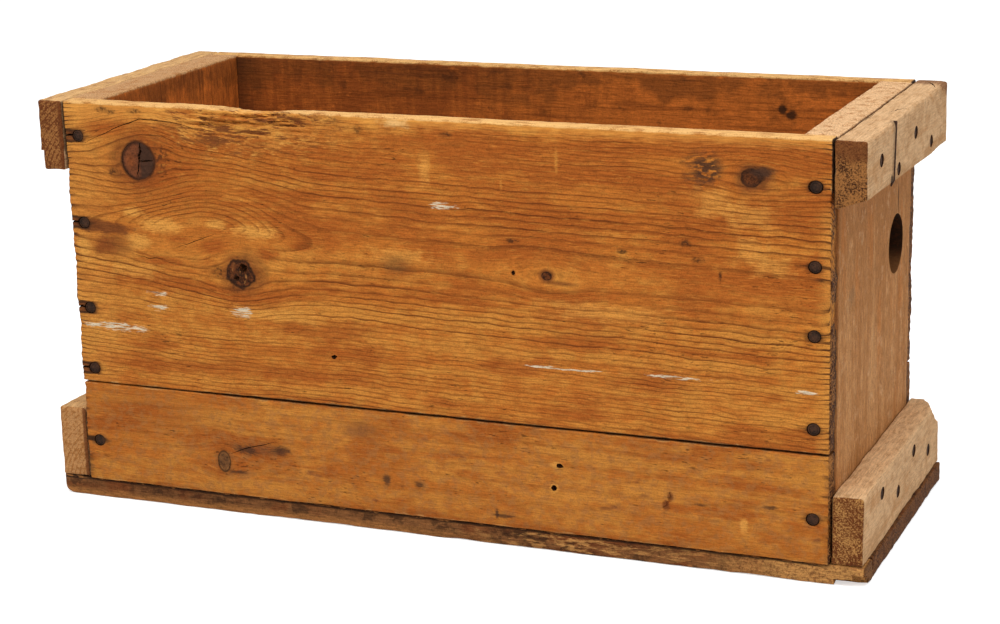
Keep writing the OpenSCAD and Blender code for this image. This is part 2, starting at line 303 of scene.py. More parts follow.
class Wood(Finish):
    """Pine in one board: rings round a pith, knots, stains and wear. All lengths are in mm."""

    def __init__(self, name, node, along, across, deep, knots=()):
        super().__init__(bpy.data.materials.new(name))
        low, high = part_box(node)
        self.low = low * MM_PER_METRE
        self.high = high * MM_PER_METRE
        self.seed = Vector([10.0 * noise.cell(Vector((len(name), axis, ord(name[0])))) for axis in range(3)])
        self.point = self.object_point()
        places = self.parts(self.point)
        self.along, self.across, self.deep = places[along], places[across], places[deep]
        gaps = []
        for axis in range(3):
            middle = (self.low[axis] + self.high[axis]) / 2
            half = (self.high[axis] - self.low[axis]) / 2
            gaps.append(half - abs(places[axis] - middle))
        self.end_gap, self.edge_gap = gaps[along], gaps[across]
        self.below_top = self.high.z - places[Z]
        nearest = self.least(gaps[0], gaps[1])
        further = self.most(gaps[0], gaps[1])
        self.arris_gap = self.most(nearest, self.least(further, gaps[2]))
        self.lined = self.across
        for knot in knots:
            self.bend_round(knot)
        self.flow = self.node("ShaderNodeCombineXYZ", None, {0: self.along, 1: self.lined, 2: self.deep})
        self.fibre = self.stretched(0.08, 1.1, 1.1, detail=3.0)
        self.band = self.stretched(0.004, 0.085, 0.085, detail=3.0, shift=17.0)
        self.fleck = self.stretched(0.22, 1.4, 1.4, shift=21.0)
        self.mottle = self.stretched(0.10, 0.16, 0.16, detail=3.0)
        self.cloud = self.stretched(0.011, 0.022, 0.03, detail=3.0)
        self.blot = self.stretched(0.020, 0.050, 0.05, detail=4.0, shift=31.0)
        self.grit = self.grains(1.2)
        self.height = self.fibre * 0.10 + self.grit * 0.05
        self.shade = None
        self.late = None

    def stretched(self, along, across, deep, detail=2.0, rough=0.55, shift=0.0):
        """Noise that follows the grain. The three numbers are features per mm."""
        offset = self.seed + Vector((shift, shift, shift))
        vector = self.vector("MULTIPLY_ADD", self.flow, (along, across, deep), offset)
        return self.noise_at(vector, detail, rough)

    def grains(self, per_mm, detail=2.0, rough=0.5):
        """Noise that is the same every way."""
        return self.noise_at(self.vector("MULTIPLY", self.point, (per_mm, per_mm, per_mm)), detail, rough)

    def bend_round(self, knot):
        """Pushes the grain aside round a knot."""
        run = (self.along - knot.along) / (knot.half_along * knot.reach_along)
        rise = self.across - knot.across
        lift = rise / (knot.half_across * knot.reach_across)
        near = self.math("EXPONENT", 0.0 - (run * run + lift * lift))
        self.lined = self.lined - rise * near * knot.bend

    def rings(self, pith_across, pith_deep, ring, wander=5.0, uneven=1.4, ripple=5.0):
        """Growth rings. Sets late, which is 1 in the dark line at the end of a year."""
        drift = self.stretched(0.005, 0.018, 0.018)
        wave = self.stretched(0.035, 0.05, 0.05, shift=13.0)
        rise = self.lined - pith_across + (drift - 0.5) * wander + (wave - 0.5) * ripple
        sink = self.deep - pith_deep
        radius = self.root(rise * rise + sink * sink)
        count = radius / ring + self.noise_along(radius * 0.05) * uneven
        phase = self.math("FRACT", count)
        year = self.math("FLOOR", count)
        each = self.node("ShaderNodeTexWhiteNoise", {"noise_dimensions": "1D"}, {"W": year})
        line = self.step(phase, 0.55, 0.92) * self.step(phase, 1.0, 0.95)
        strength = self.step(self.stretched(0.012, 0.05, 0.05, shift=3.0), 0.30, 0.68)
        whole = self.step(self.fleck, 0.72, 0.45)
        self.late = line * (0.45 + each * 0.55) * (0.50 + strength * 0.50) * (0.75 + whole * 0.25)
        self.height = self.height + self.late * 0.10

    def ground(self, light, dark, red, bias=0.0):
        """Early wood that wanders between three tones, in clouds and in long bands."""
        tone = self.cloud * 0.25 + self.band * 0.35 + self.mottle * 0.40 + bias
        self.shade = self.mix(self.step(tone, 0.41, 0.59), light, dark)
        self.paint(self.step(self.blot * 0.6 + self.band * 0.4 + bias, 0.47, 0.61), red, 0.75)

    def lines(self, late, depth, light):
        """The late wood lines and a few bright slivers over the early wood."""
        self.paint(self.late, late, depth)
        sliver = self.step(self.stretched(0.10, 1.0, 1.0, shift=41.0), 0.57, 0.70)
        self.paint(sliver, light, 0.45)

    def tones(self, light, dark, red, late, depth=1.0, bias=0.0):
        """Early and late wood together."""
        self.ground(light, dark, red, bias)
        self.lines(late, depth, light)

    def paint(self, mask, shade, strength=1.0):
        """Lays a colour where the mask is 1."""
        self.shade = self.mix(mask * strength, self.shade, shade)

    def dim(self, value, start, end, strength):
        """Darkens by the strength as the value goes from start to end."""
        self.shade = self.dimmed(self.shade, 1.0 - self.step(value, start, end) * strength)

    def distance(self, along, across, half_along, half_across, ragged=0.0):
        """Distance from a place on the face, where 1 is the rim of an oval."""
        run = (self.along - along) / half_along
        rise = (self.across - across) / half_across
        far = self.root(run * run + rise * rise)
        if ragged:
            far = far + (self.mottle - 0.5) * ragged + (self.fleck - 0.5) * ragged
        return far

    def spot(self, along, across, half_along, half_across, ragged=0.0, soft=0.5):
        """An oval mask with a soft or ragged rim."""
        return self.step(self.distance(along, across, half_along, half_across, ragged), 1.0, 1.0 - soft)

    def block(self, along, across, half_along, half_across):
        """A mask with a blocky but soft edge, as a scraper leaves."""
        square = self.most(abs(self.along - along) / half_along, abs(self.across - across) / half_across)
        edge = self.stretched(0.16, 0.12, 0.12, shift=61.0)
        return self.step(square + (edge - 0.5) * 1.6 + (self.fibre - 0.5) * 1.2, 1.35, 0.30)

    def skin(self, level, thick=1.8):
        """1 within a thin skin of a face across the board's thickness."""
        return self.step(abs(self.deep - level), thick, thick * 0.5)

    def knot_mark(self, knot, heart, rim, halo, warm=0.6, rough=0.35, ragged=0.15):
        """A knot: its brown disc, its dark rim and the warm wood round it."""
        far = self.distance(knot.along, knot.across, knot.half_along, knot.half_across)
        far = far + (self.grains(0.10) - 0.5) * ragged * 2.0
        self.paint(self.step(far + (self.blot - 0.5) * 1.8, 2.1, 0.9), halo, warm)
        torn = self.step(self.grains(0.30, 4.0, 0.7), 0.42, 0.62)
        self.paint(self.step(far, 1.08, 0.94), self.mix(torn * rough, heart, rim))
        self.paint(self.step(far, 0.78, 0.96) * self.step(far, 1.16, 1.0), rim, 0.75)
        return far

    def nail_stain(self, nails, level, shade, reach=5.5, tail=13.0):
        """Rust drawn into the wood round nail heads on one face, with a tail along the grain."""
        near = None
        for along, across in nails:
            run = self.along - along
            rise = self.across - across
            ring = self.fall(run / (reach * 1.3)) * self.fall(rise / (reach * 0.85))
            streak = self.math("EXPONENT", 0.0 - run * run / (tail * tail) - rise * rise / 3.0)
            mark = self.most(ring, streak * 0.75)
            near = mark if near is None else self.most(near, mark)
        ragged = near + (self.mottle - 0.5) * 0.5 + (self.fleck - 0.5) * 0.4
        self.paint(self.step(ragged, 0.25, 0.9) * self.skin(level, 3.0), shade, 0.9)

    def dashes(self, strength=0.6, low=0.73, high=0.81):
        """Short dark flecks along the grain, in clusters."""
        dash = self.stretched(0.17, 0.9, 0.9, detail=1.0, shift=7.0)
        bunch = self.step(self.stretched(0.022, 0.03, 0.03, shift=5.0), 0.50, 0.66)
        self.dim(dash + bunch * 0.09, low, high, strength)

    def worn_arris(self, shade, start=1.8, strength=0.7):
        """Bare wood along the edges, broken up by noise."""
        ragged = self.arris_gap + (self.mottle - 0.5) * 5.0 + (self.fleck - 0.5) * 2.5
        self.paint(self.step(ragged, start, start * 0.2), shade, strength)

    def rim(self, light, dark, strength=0.92):
        """The top, rubbed pale, with darker dents and specks."""
        mask = self.step(self.below_top + (self.mottle - 0.5) * 2.2, 1.9, 0.8)
        dents = self.mottle * 0.45 + self.grit * 0.30 + self.fibre * 0.25
        self.paint(mask, self.mix(self.step(dents, 0.47, 0.62), light, dark), strength)

    def inner_wall(self, level, light, dark, grime_and_shade, saw=(0.30, 0.03), bright=0.0):
        """The dirty inside of the box on one face, with blotches, saw marks and smudges under the rim."""
        mask = self.skin(level, 1.8) * self.step(self.below_top, 0.8, 2.4)
        marks = self.stretched(saw[0], saw[1], 0.05, detail=3.0, shift=51.0)
        patch = self.grains(0.030, 5.0, 0.65)
        # Bright lifts the tone toward the light colour. The back boards pass it a ramp of painted light.
        tone = patch * 0.60 + self.band * 0.10 + marks * 0.30 - bright
        self.paint(mask, self.mix(self.step(tone, 0.38, 0.62), light, dark), 0.96)
        self.paint(mask * self.late, dark, 0.35)
        worn = self.step(self.grains(0.10, 5.0, 0.75) + bright * 0.6, 0.56, 0.68)
        self.paint(mask * worn, self.dimmed(light, 1.25), 0.6)
        streak = self.step(self.stretched(0.012, 0.30, 0.30, detail=3.0, shift=52.0), 0.54, 0.66)
        self.paint(mask * streak, self.dimmed(dark, 0.6), 0.5)
        damp = self.step(self.below_top + (patch - 0.5) * 130.0 + (self.mottle - 0.5) * 30.0, 26.0, 2.0)
        self.paint(mask * damp, grime_and_shade, 0.45)
        spots = self.step(self.grains(0.055, 4.0, 0.65), 0.60, 0.70)
        self.paint(mask * spots, grime_and_shade, 0.4)
        self.height = self.height + marks * mask * 0.2
        return mask

    def sawn_ends(self, light, dark, strength=1.0, grain=0.8, lines=0.1, dirt=0.0):
        """Rough speckled end grain on the two ends, with the rings showing through and more or less dirt."""
        speck = self.grains(grain, 3.0, 0.75)
        patch = self.grains(0.11)
        rough = speck + self.late * lines + (patch - 0.5) * 0.35 + dirt
        mask = self.step(self.end_gap + (self.grit - 0.5) * 0.9, 1.5, 0.8)
        self.paint(mask, self.mix(self.step(rough, 0.42, 0.60), light, dark), strength)
        self.height = self.height + speck * mask * 0.7
        return mask

    def end_ticks(self, shade, reach=10.0, strength=0.9):
        """Dark checks that run in from the ends along the late wood and fade."""
        run = self.end_gap + (self.stretched(0.015, 0.45, 0.45, shift=9.0) - 0.5) * reach * 2.6
        tick = self.step(self.late, 0.05, 0.30) * self.step(self.fibre, 0.64, 0.50)
        self.paint(tick * self.step(run, reach, 0.0), shade, strength)

    def done(self, rough=0.78, crisp=1.0, calm=0.0):
        """Ends the wood with its fine fibres, crisp or calm, its roughness and its relief."""
        sharp = crisp * (1.0 - calm)
        self.dim(self.fibre, 0.35, 0.65, sharp * 0.24)
        self.dim(self.fleck, 0.42, 0.66, sharp * 0.20)
        self.dim(self.grit, 0.46, 0.70, sharp * 0.24)
        self.shade = self.dimmed(self.shade, 1.0 + (crisp - 1.0) * 0.5)
        gloss = rough + (self.fibre - 0.5) * 0.2
        return self.close(self.shade, gloss, self.height, {"Specular IOR Level": 0.1})


# Modelling

def clear_selection():
    if bpy.context.mode != "OBJECT":
        bpy.ops.object.mode_set(mode="OBJECT")
    bpy.ops.object.select_all(action="DESELECT")


def take(piece):
    """Makes a piece the only one that the next operator acts on."""
    clear_selection()
    piece.select_set(True)
    bpy.context.view_layer.objects.active = piece


@contextmanager
def editing(piece):
    """Edit mode on one piece alone."""
    take(piece)
    bpy.ops.object.mode_set(mode="EDIT")
    yield
    bpy.ops.object.mode_set(mode="OBJECT")


def start_block(name, low, high):
    """A cube at its size and place, to be worked on."""
    clear_selection()
    bpy.ops.mesh.primitive_cube_add(size=1.0, location=(low + high) / 2)
    block = bpy.context.object
    block.name = name
    block.scale = high - low
    bpy.ops.object.transform_apply(location=True, rotation=True, scale=True)
    return block


def choose_edges(piece, wanted):
    """In edit mode, selects the edges for which wanted(edge) holds."""
    bpy.ops.mesh.select_mode(type="EDGE")
    bpy.ops.mesh.select_all(action="DESELECT")
    form = bmesh.from_edit_mesh(piece.data)
    for edge in form.edges:
        if wanted(edge):
            edge.select_set(True)
    bmesh.update_edit_mesh(piece.data)


def choose_faces(piece, wanted):
    """In edit mode, selects the faces for which wanted(face) holds."""
    bpy.ops.mesh.select_mode(type="FACE")
    bpy.ops.mesh.select_all(action="DESELECT")
    form = bmesh.from_edit_mesh(piece.data)
    for face in form.faces:
        if wanted(face):
            face.select_set(True)
    bmesh.update_edit_mesh(piece.data)


def runs_along(edge, axis):
    run = edge.verts[1].co - edge.verts[0].co
    return abs(run[axis]) > 0.999 * run.length


def round_edges(piece, radius):
    """Rounds all edges."""
    with editing(piece):
        choose_edges(piece, lambda edge: True)
        bpy.ops.mesh.bevel(offset=radius, segments=3, affect="EDGES")


def cut_grid(piece, cell):
    """Cuts the long edges along each axis, so that every face becomes a grid of small squares."""
    with editing(piece):
        for axis in range(3):
            form = bmesh.from_edit_mesh(piece.data)
            longest = max(edge.calc_length() for edge in form.edges if runs_along(edge, axis))
            cuts = round(longest / cell) - 1
            if cuts < 1:
                continue
            choose_edges(piece, lambda edge: runs_along(edge, axis) and edge.calc_length() > cell)
            bpy.ops.mesh.subdivide(number_cuts=cuts)


def refine(piece, wanted, cuts=1):
    """Cuts the faces for which wanted(face) holds into smaller ones."""
    with editing(piece):
        choose_faces(piece, wanted)
        bpy.ops.mesh.subdivide(number_cuts=cuts)


def arris_distance(point, low, high):
    """Distance from a point to the nearest edge of a box."""
    gaps = sorted(min(point[axis] - low[axis], high[axis] - point[axis]) for axis in range(3))
    return max(gaps[0], gaps[1])


def displace(piece, depth, size, stretch=(1.0, 1.0, 1.0), group=None, middle=0.5):
    """Moves the surface in and out by cloudy noise, which an empty can stretch along the grain."""
    cloud = bpy.data.textures.new("wear_cloud", "CLOUDS")
    cloud.noise_scale = size
    cloud.noise_depth = 3
    carrier = bpy.data.objects.new("grain_carrier", None)
    bpy.context.collection.objects.link(carrier)
    carrier.scale = stretch
    bpy.context.view_layer.update()
    take(piece)
    worn = piece.modifiers.new("wear", "DISPLACE")
    worn.texture = cloud
    worn.texture_coords = "OBJECT"
    worn.texture_coords_object = carrier
    worn.strength = depth
    worn.mid_level = middle
    if group:
        worn.vertex_group = group
    bpy.ops.object.modifier_apply(modifier=worn.name)
    bpy.data.objects.remove(carrier)
    bpy.data.textures.remove(cloud)


def wear_edges(piece, low, high, depth, reach):
    """Rubs the edges down unevenly."""
    group = piece.vertex_groups.new(name="arris")
    for vertex in piece.data.vertices:
        far = arris_distance(vertex.co, low, high)
        if far < reach:
            group.add([vertex.index], 1.0 - far / reach, "REPLACE")
    displace(piece, -depth * 2.2, 0.030, group="arris", middle=0.35)
    displace(piece, -depth * 1.1, 0.006, group="arris", middle=0.45)
    piece.vertex_groups.clear()


def move_points(piece, offset):
    """Moves each point by offset(place)."""
    for vertex in piece.data.vertices:
        vertex.co += offset(vertex.co)
    piece.data.update()


def subtract(piece, cutters):
    """Cuts the cutters out of a piece and removes them. The cut takes the cutters' finish."""
    if not cutters:
        return
    take(cutters[0])
    for cutter in cutters[1:]:
        cutter.select_set(True)
    if len(cutters) > 1:
        bpy.ops.object.join()
    tool = cutters[0]
    take(piece)
    cut = piece.modifiers.new("cut", "BOOLEAN")
    cut.operation = "DIFFERENCE"
    cut.solver = "MANIFOLD"
    cut.material_mode = "TRANSFER"
    cut.object = tool
    bpy.ops.object.modifier_apply(modifier=cut.name)
    bpy.data.objects.remove(tool)


def finish_piece(piece, node):
    """Shades a piece, hangs it on the frame and lets it stand for its CAD node."""
    take(piece)
    bpy.ops.object.shade_smooth_by_angle(angle=math.radians(40.0))
    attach(piece, "root")
    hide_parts(node)


def outward(piece):
    """Turns all faces of a piece outwards."""
    with editing(piece):
        bpy.ops.mesh.select_all(action="SELECT")
        bpy.ops.mesh.normals_make_consistent(inside=False)


def broken(place, seed, rough):
    """How a broken surface leaves the flat at a place: coarse lumps and finer ones, up to rough mm."""
    spot = place / MM
    moved = [noise.noise(spot * 0.13 + Vector((seed, axis * 9.0, 0.0)))
             + 0.45 * noise.noise(spot * 0.45 + Vector((seed, axis * 7.0, 4.0))) for axis in range(3)]
    return Vector(moved) * rough * MM


def chip_cutter(low, high, finish, seed, rough):
    """A block with a broken surface, for knocking a chip off."""
    block = start_block("chip", low, high)
    with editing(block):
        bpy.ops.mesh.select_all(action="SELECT")
        bpy.ops.mesh.subdivide(number_cuts=11)
    move_points(block, lambda place: broken(place, seed, rough))
    block.data.materials.append(finish)
    return block


def ease_edge(piece, low, high, first, second, radius):
    """Rounds one edge further. The edge is where two faces meet, each given as its axis and side."""
    def offset(place):
        reach = radius(place)
        shift = Vector()
        over = []
        for axis, side in (first, second):
            gap = (high[axis] - place[axis]) if side > 0 else (place[axis] - low[axis])
            over.append(reach - gap)
        far = math.hypot(over[0], over[1])
        if min(over) > 0.0 and far > reach:
            for (axis, side), past in zip((first, second), over):
                shift[axis] = -side * past * (1.0 - reach / far)
        return shift
    move_points(piece, offset)


# How far from a sawn end the fraying reaches, in mm
FRAY_REACH = 7.0


def fray_ends(piece, low, high, axis, depth, seed):
    """Makes the two sawn ends of a piece uneven, by about depth mm."""
    reach = FRAY_REACH * MM
    refine(piece, lambda face: min(face.calc_center_median()[axis] - low[axis],
                                   high[axis] - face.calc_center_median()[axis]) < reach)

    def offset(place):
        shift = Vector()
        for side, gap in ((-1.0, place[axis] - low[axis]), (1.0, high[axis] - place[axis])):
            if gap < reach:
                spot = place / MM
                spot[axis] = seed + side * 40.0
                rough = noise.noise(spot * 0.045) + 0.6 * noise.noise(spot * 0.33)
                shift[axis] -= side * depth * MM * (0.5 + rough) * (1.0 - gap / reach)
        return shift
    move_points(piece, offset)


class Face(NamedTuple):
    """A flat face that cracks are cut into: two axes in it, the axis out of it, its level and its side."""
    along: int
    across: int
    out: int
    level: float
    side: int


def place_on(face, along, across, depth):
    """A point at a depth under a face, from mm."""
    point = Vector()
    point[face.along] = along * MM
    point[face.across] = across * MM
    point[face.out] = face.level - face.side * depth * MM
    return point


def between(path, share):
    """A place along a path of points, with share from 0 to 1, and the direction there."""
    step = share * (len(path) - 1)
    index = min(int(step), len(path) - 2)
    start = Vector(path[index])
    end = Vector(path[index + 1])
    return start.lerp(end, step - index), (end - start).normalized()


def crack_cutter(face, path, width, depth, finish, seed=0.0):
    """A thin wedge that follows a path on a face, for cutting a crack. Lengths are in mm."""
    clear_selection()
    bpy.ops.mesh.primitive_cube_add(size=1.0)
    blade = bpy.context.object
    with editing(blade):
        choose_edges(blade, lambda edge: runs_along(edge, X))
        bpy.ops.mesh.subdivide(number_cuts=8 * (len(path) - 1) - 1)
    for vertex in blade.data.vertices:
        share = vertex.co.x + 0.5
        spot, way = between(path, min(max(share, 0.0), 1.0))
        swing = noise.noise(Vector((share * 1.6 * len(path), seed, 0.0))) * width * 0.6
        full = 0.18 + 0.82 * math.sin(math.pi * (0.08 + 0.84 * share))
        half = width / 2 * full * (1.0 + 0.5 * noise.noise(Vector((share * 14.0, seed, 5.0))))
        below = vertex.co.z < 0.0
        side = swing + math.copysign(half * (0.15 if below else 1.0), vertex.co.y)
        sunk = depth * full if below else -1.5
        vertex.co = place_on(face, spot.x - way.y * side, spot.y + way.x * side, sunk)
    outward(blade)
    blade.data.materials.append(finish)
    return blade


def pit_cutter(face, along, across, half_along, half_across, depth, finish, seed=0.0):
    """A ragged round pit, for cutting a small hole. Lengths are in mm."""
    clear_selection()
    bpy.ops.mesh.primitive_uv_sphere_add(segments=18, ring_count=12, radius=1.0)
    pit = bpy.context.object
    for vertex in pit.data.vertices:
        rough = 1.0 + 0.35 * noise.noise(vertex.co * 1.7 + Vector((seed, seed, seed)))
        spot = vertex.co * rough
        vertex.co = place_on(
            face, along + spot.x * half_along, across + spot.y * half_across, -spot.z * depth)
    outward(pit)
    pit.data.materials.append(finish)
    return pit


# Nails, with their sizes in mm

NAIL_NODES = [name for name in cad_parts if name.endswith("_nails")]
HEAD_RADIUS = 3.75
HEAD_THICK = 1.3
SHANK_RADIUS = 1.4
POINT_LONG = 5.0
NAILS_APART = 9.0
HEAD_ROOM = 0.35
SHANK_ROOM = 0.08
TIP_ROOM = 0.3
BORE_OUT = 3.0


class NailPlace(NamedTuple):
    """Where a nail's head is, the way it is driven and its length, in metres."""
    head: Vector
    way: Vector
    long: float


def nail_axis(node):
    """The axis that a node's nails are driven along."""
    if "batten" in node:
        return X
    return Z if node.startswith("bottom") else Y


def nail_places(node):
    """The nails in a CAD node, found from its points."""
    axis = nail_axis(node)
    groups = []
    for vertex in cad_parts[node].data.vertices:
        for group in groups:
            gap = vertex.co - group[0]
            gap[axis] = 0.0
            if gap.length < NAILS_APART * MM:
                group.append(vertex.co.copy())
                break
        else:
            groups.append([vertex.co.copy()])
    places = []
    middle = (CAD_LOW + CAD_HIGH) / 2
    for group in groups:
        least = Vector([min(point[part] for point in group) for part in range(3)])
        greatest = Vector([max(point[part] for point in group) for part in range(3)])
        head = (least + greatest) / 2
        side = 1.0 if head[axis] > middle[axis] else -1.0
        head[axis] = greatest[axis] if side > 0.0 else least[axis]
        way = Vector()
        way[axis] = -side
        places.append(NailPlace(head, way, greatest[axis] - least[axis]))
    return places


def driven(place, turn, lean=0.0):
    """The matrix that takes a nail modelled head up at the origin to its place."""
    stand = Vector((0.0, 0.0, -1.0)).rotation_difference(place.way).to_matrix().to_4x4()
    tilt = Matrix.Rotation(lean, 4, "X")
    return Matrix.Translation(place.head) @ stand @ Matrix.Rotation(turn, 4, "Z") @ tilt


def face_towards(piece, way):
    """In edit mode, selects the faces that look a way and lie furthest along it."""
    form = bmesh.from_edit_mesh(piece.data)
    furthest = max(face.calc_center_median().dot(way) for face in form.faces)
    choose_faces(piece, lambda face: face.normal.dot(way) > 0.9
                 and face.calc_center_median().dot(way) > furthest - 0.0001)


def turned_nail(name, head_radius, head_top, shank_radius, long):
    """A nail, head up with its top at the origin: a disc with a shank drawn out of its underside."""
    clear_selection()
    tall = head_top + HEAD_THICK * MM
    bpy.ops.mesh.primitive_cylinder_add(
        vertices=20, radius=head_radius, depth=tall, location=(0.0, 0.0, head_top - tall / 2))
    nail = bpy.context.object
    nail.name = name
    bpy.ops.object.transform_apply(location=True, rotation=True, scale=True)
    drop = long - HEAD_THICK * MM
    point = POINT_LONG * MM
    with editing(nail):
        face_towards(nail, Vector((0.0, 0.0, -1.0)))
        bpy.ops.mesh.inset(thickness=head_radius - shank_radius)
        bpy.ops.mesh.extrude_region_move(TRANSFORM_OT_translate={"value": (0.0, 0.0, point - drop)})
        bpy.ops.mesh.extrude_region_move(TRANSFORM_OT_translate={"value": (0.0, 0.0, -point)})
        bpy.ops.transform.resize(value=(0.3, 0.3, 1.0), center_override=(0.0, 0.0, -long))
    return nail


def nail_bores(node_low, node_high, finish, grain_axis):
    """Cutters for the nails that pass through a piece, a little larger than the nails."""
    chance = random.Random(17)
    bores = []
    for node in NAIL_NODES:
        for place in nail_places(node):
            ends = (place.head, place.head + place.way * place.long)
            inside = all(
                min(ends[0][axis], ends[1][axis]) < node_high[axis] - 0.2 * MM
                and max(ends[0][axis], ends[1][axis]) > node_low[axis] + 0.2 * MM for axis in range(3))
            if not inside:
                continue
            bore = turned_nail("bore", (HEAD_RADIUS + HEAD_ROOM) * MM, BORE_OUT * MM,
                               (SHANK_RADIUS + SHANK_ROOM) * MM, place.long + TIP_ROOM * MM)
            bore.data.transform(driven(place, chance.uniform(0.0, 6.0)))
            pull = Matrix.Identity(4)
            pull[grain_axis][grain_axis] = chance.uniform(1.0, 1.16)
            centre = Matrix.Translation(place.head)
            if abs(place.way[grain_axis]) < 0.5:
                bore.data.transform(centre @ pull @ centre.inverted())
            bore.data.materials.append(finish)
            bores.append(bore)
    return bores


def crack_finish(colours):
    """Dark wood inside cracks and nail holes."""
    finish = Finish(bpy.data.materials.new("crack_dark"))
    point = finish.object_point()
    speck = finish.noise_at(finish.vector("MULTIPLY", point, (0.9, 0.9, 0.9)), 3.0)
    shade = finish.mix(finish.step(speck, 0.42, 0.75), colours.grime_and_shade, colours.red_stain)
    shade = finish.dimmed(shade, 0.5 + speck * 0.4)
    return finish.close(shade, 0.85 + speck * 0.1, speck * 0.3, {"Specular IOR Level": 0.05})


def rust_finish(colours):
    """Rusty nail heads, pitted and darker in the pits."""
    finish = Finish(bpy.data.materials.new("nail_rust"))
    point = finish.object_point()
    pits = finish.noise_at(finish.vector("MULTIPLY", point, (0.9, 0.9, 0.9)), 4.0, 0.65)
    broad = finish.noise_at(finish.vector("MULTIPLY", point, (0.2, 0.2, 0.2)), 2.0)
    shade = finish.mix(finish.step(pits * 0.6 + broad * 0.4, 0.40, 0.60), colours.iron, colours.rust)
    return finish.close(shade, 0.78 + pits * 0.15, pits * 0.5, {"Specular IOR Level": 0.15})


def shared_finish(name, maker):
    """A finish that several pieces use, made once."""
    return bpy.data.materials.get(name) or maker(bpy.context.scene.box_colours)


# Timber

def blank(name, node, round_over, cell):
    """A board or batten of a CAD node's size, rounded and cut into a fine grid."""
    low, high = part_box(node)
    piece = start_block(name, low, high)
    round_edges(piece, round_over)
    cut_grid(piece, cell)
    return piece, low, high


def weather(piece, low, high, wear, grain_axis, depth=1.0, reach=4.5):
    """Rubs the edges and raises the grain of a blank."""
    wear_edges(piece, low, high, wear.rubbed * depth, reach * MM)
    stretch = [1.0, 1.0, 1.0]
    stretch[grain_axis] = 9.0
    displace(piece, wear.raised * 2.0, 0.004, tuple(stretch))


def nail_marks(node_names, along, across):
    """Places of nail heads on a face, as mm along and across the grain."""
    marks = []
    for node in node_names:
        for place in nail_places(node):
            marks.append((place.head[along] * MM_PER_METRE, place.head[across] * MM_PER_METRE))
    return marks


def side_marks(end_nails, node):
    """Nail heads that sit in one side board."""
    low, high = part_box(node)
    marks = nail_marks(end_nails, X, Z)
    return [mark for mark in marks if low.z * MM_PER_METRE < mark[1] < high.z * MM_PER_METRE]


def dark_seam(wood, colours, gap):
    """Dirt along one edge, where two boards meet, thinner and paler at the left."""
    ragged = gap + (wood.mottle - 0.5) * 1.6 + wood.step(wood.along, -120.0, -240.0) * 0.6
    wood.paint(wood.step(ragged, 1.3, 0.5), colours.saw_brown, 0.85)


def rough_ends(wood, colours, side):
    """Rough brown ends of a side board, dirty next to the end board, which lies to the given side.

    Right ends get painted shade, nearly black, above the lower edge of the upper batten, which hides them.
    """
    mask = wood.sawn_ends(colours.end_brown, colours.saw_brown, 1.0, 0.7, dirt=0.03)
    from_inside = (wood.high.y - wood.deep) if side > 0.0 else (wood.deep - wood.low.y)
    wood.paint(mask * wood.step(from_inside + (wood.grit - 0.5) * 5.0, 3.6, 1.6), colours.grime_and_shade, 0.9)
    # Painted shade: nearly black end grain where the upper batten hides the right end.
    hidden = wood.step(wood.across, 228.0, 233.0) * wood.step(wood.along, 0.0, 9.0)
    wood.paint(mask * hidden, colours.grime_and_shade, 0.95)


def split_stain(wood, colours, along, across):
    """The red brown split between a nail and the left end of a board, dark along its rims."""
    rise = abs(wood.across - across) + (wood.mottle - 0.5) * 3.0
    run = wood.step(wood.along - along + (wood.fleck - 0.5) * 8.0, 6.5, 1.5)
    wood.paint(wood.step(rise, 4.8, 3.4) * run, colours.red_stain, 0.9)
    wood.paint(wood.step(abs(rise - 3.6), 1.5, 0.4) * run, colours.grime_and_shade, 0.75)


FRONT_NAILS = ("front_left_nails", "front_right_nails")
BACK_NAILS = ("back_left_nails", "back_right_nails")


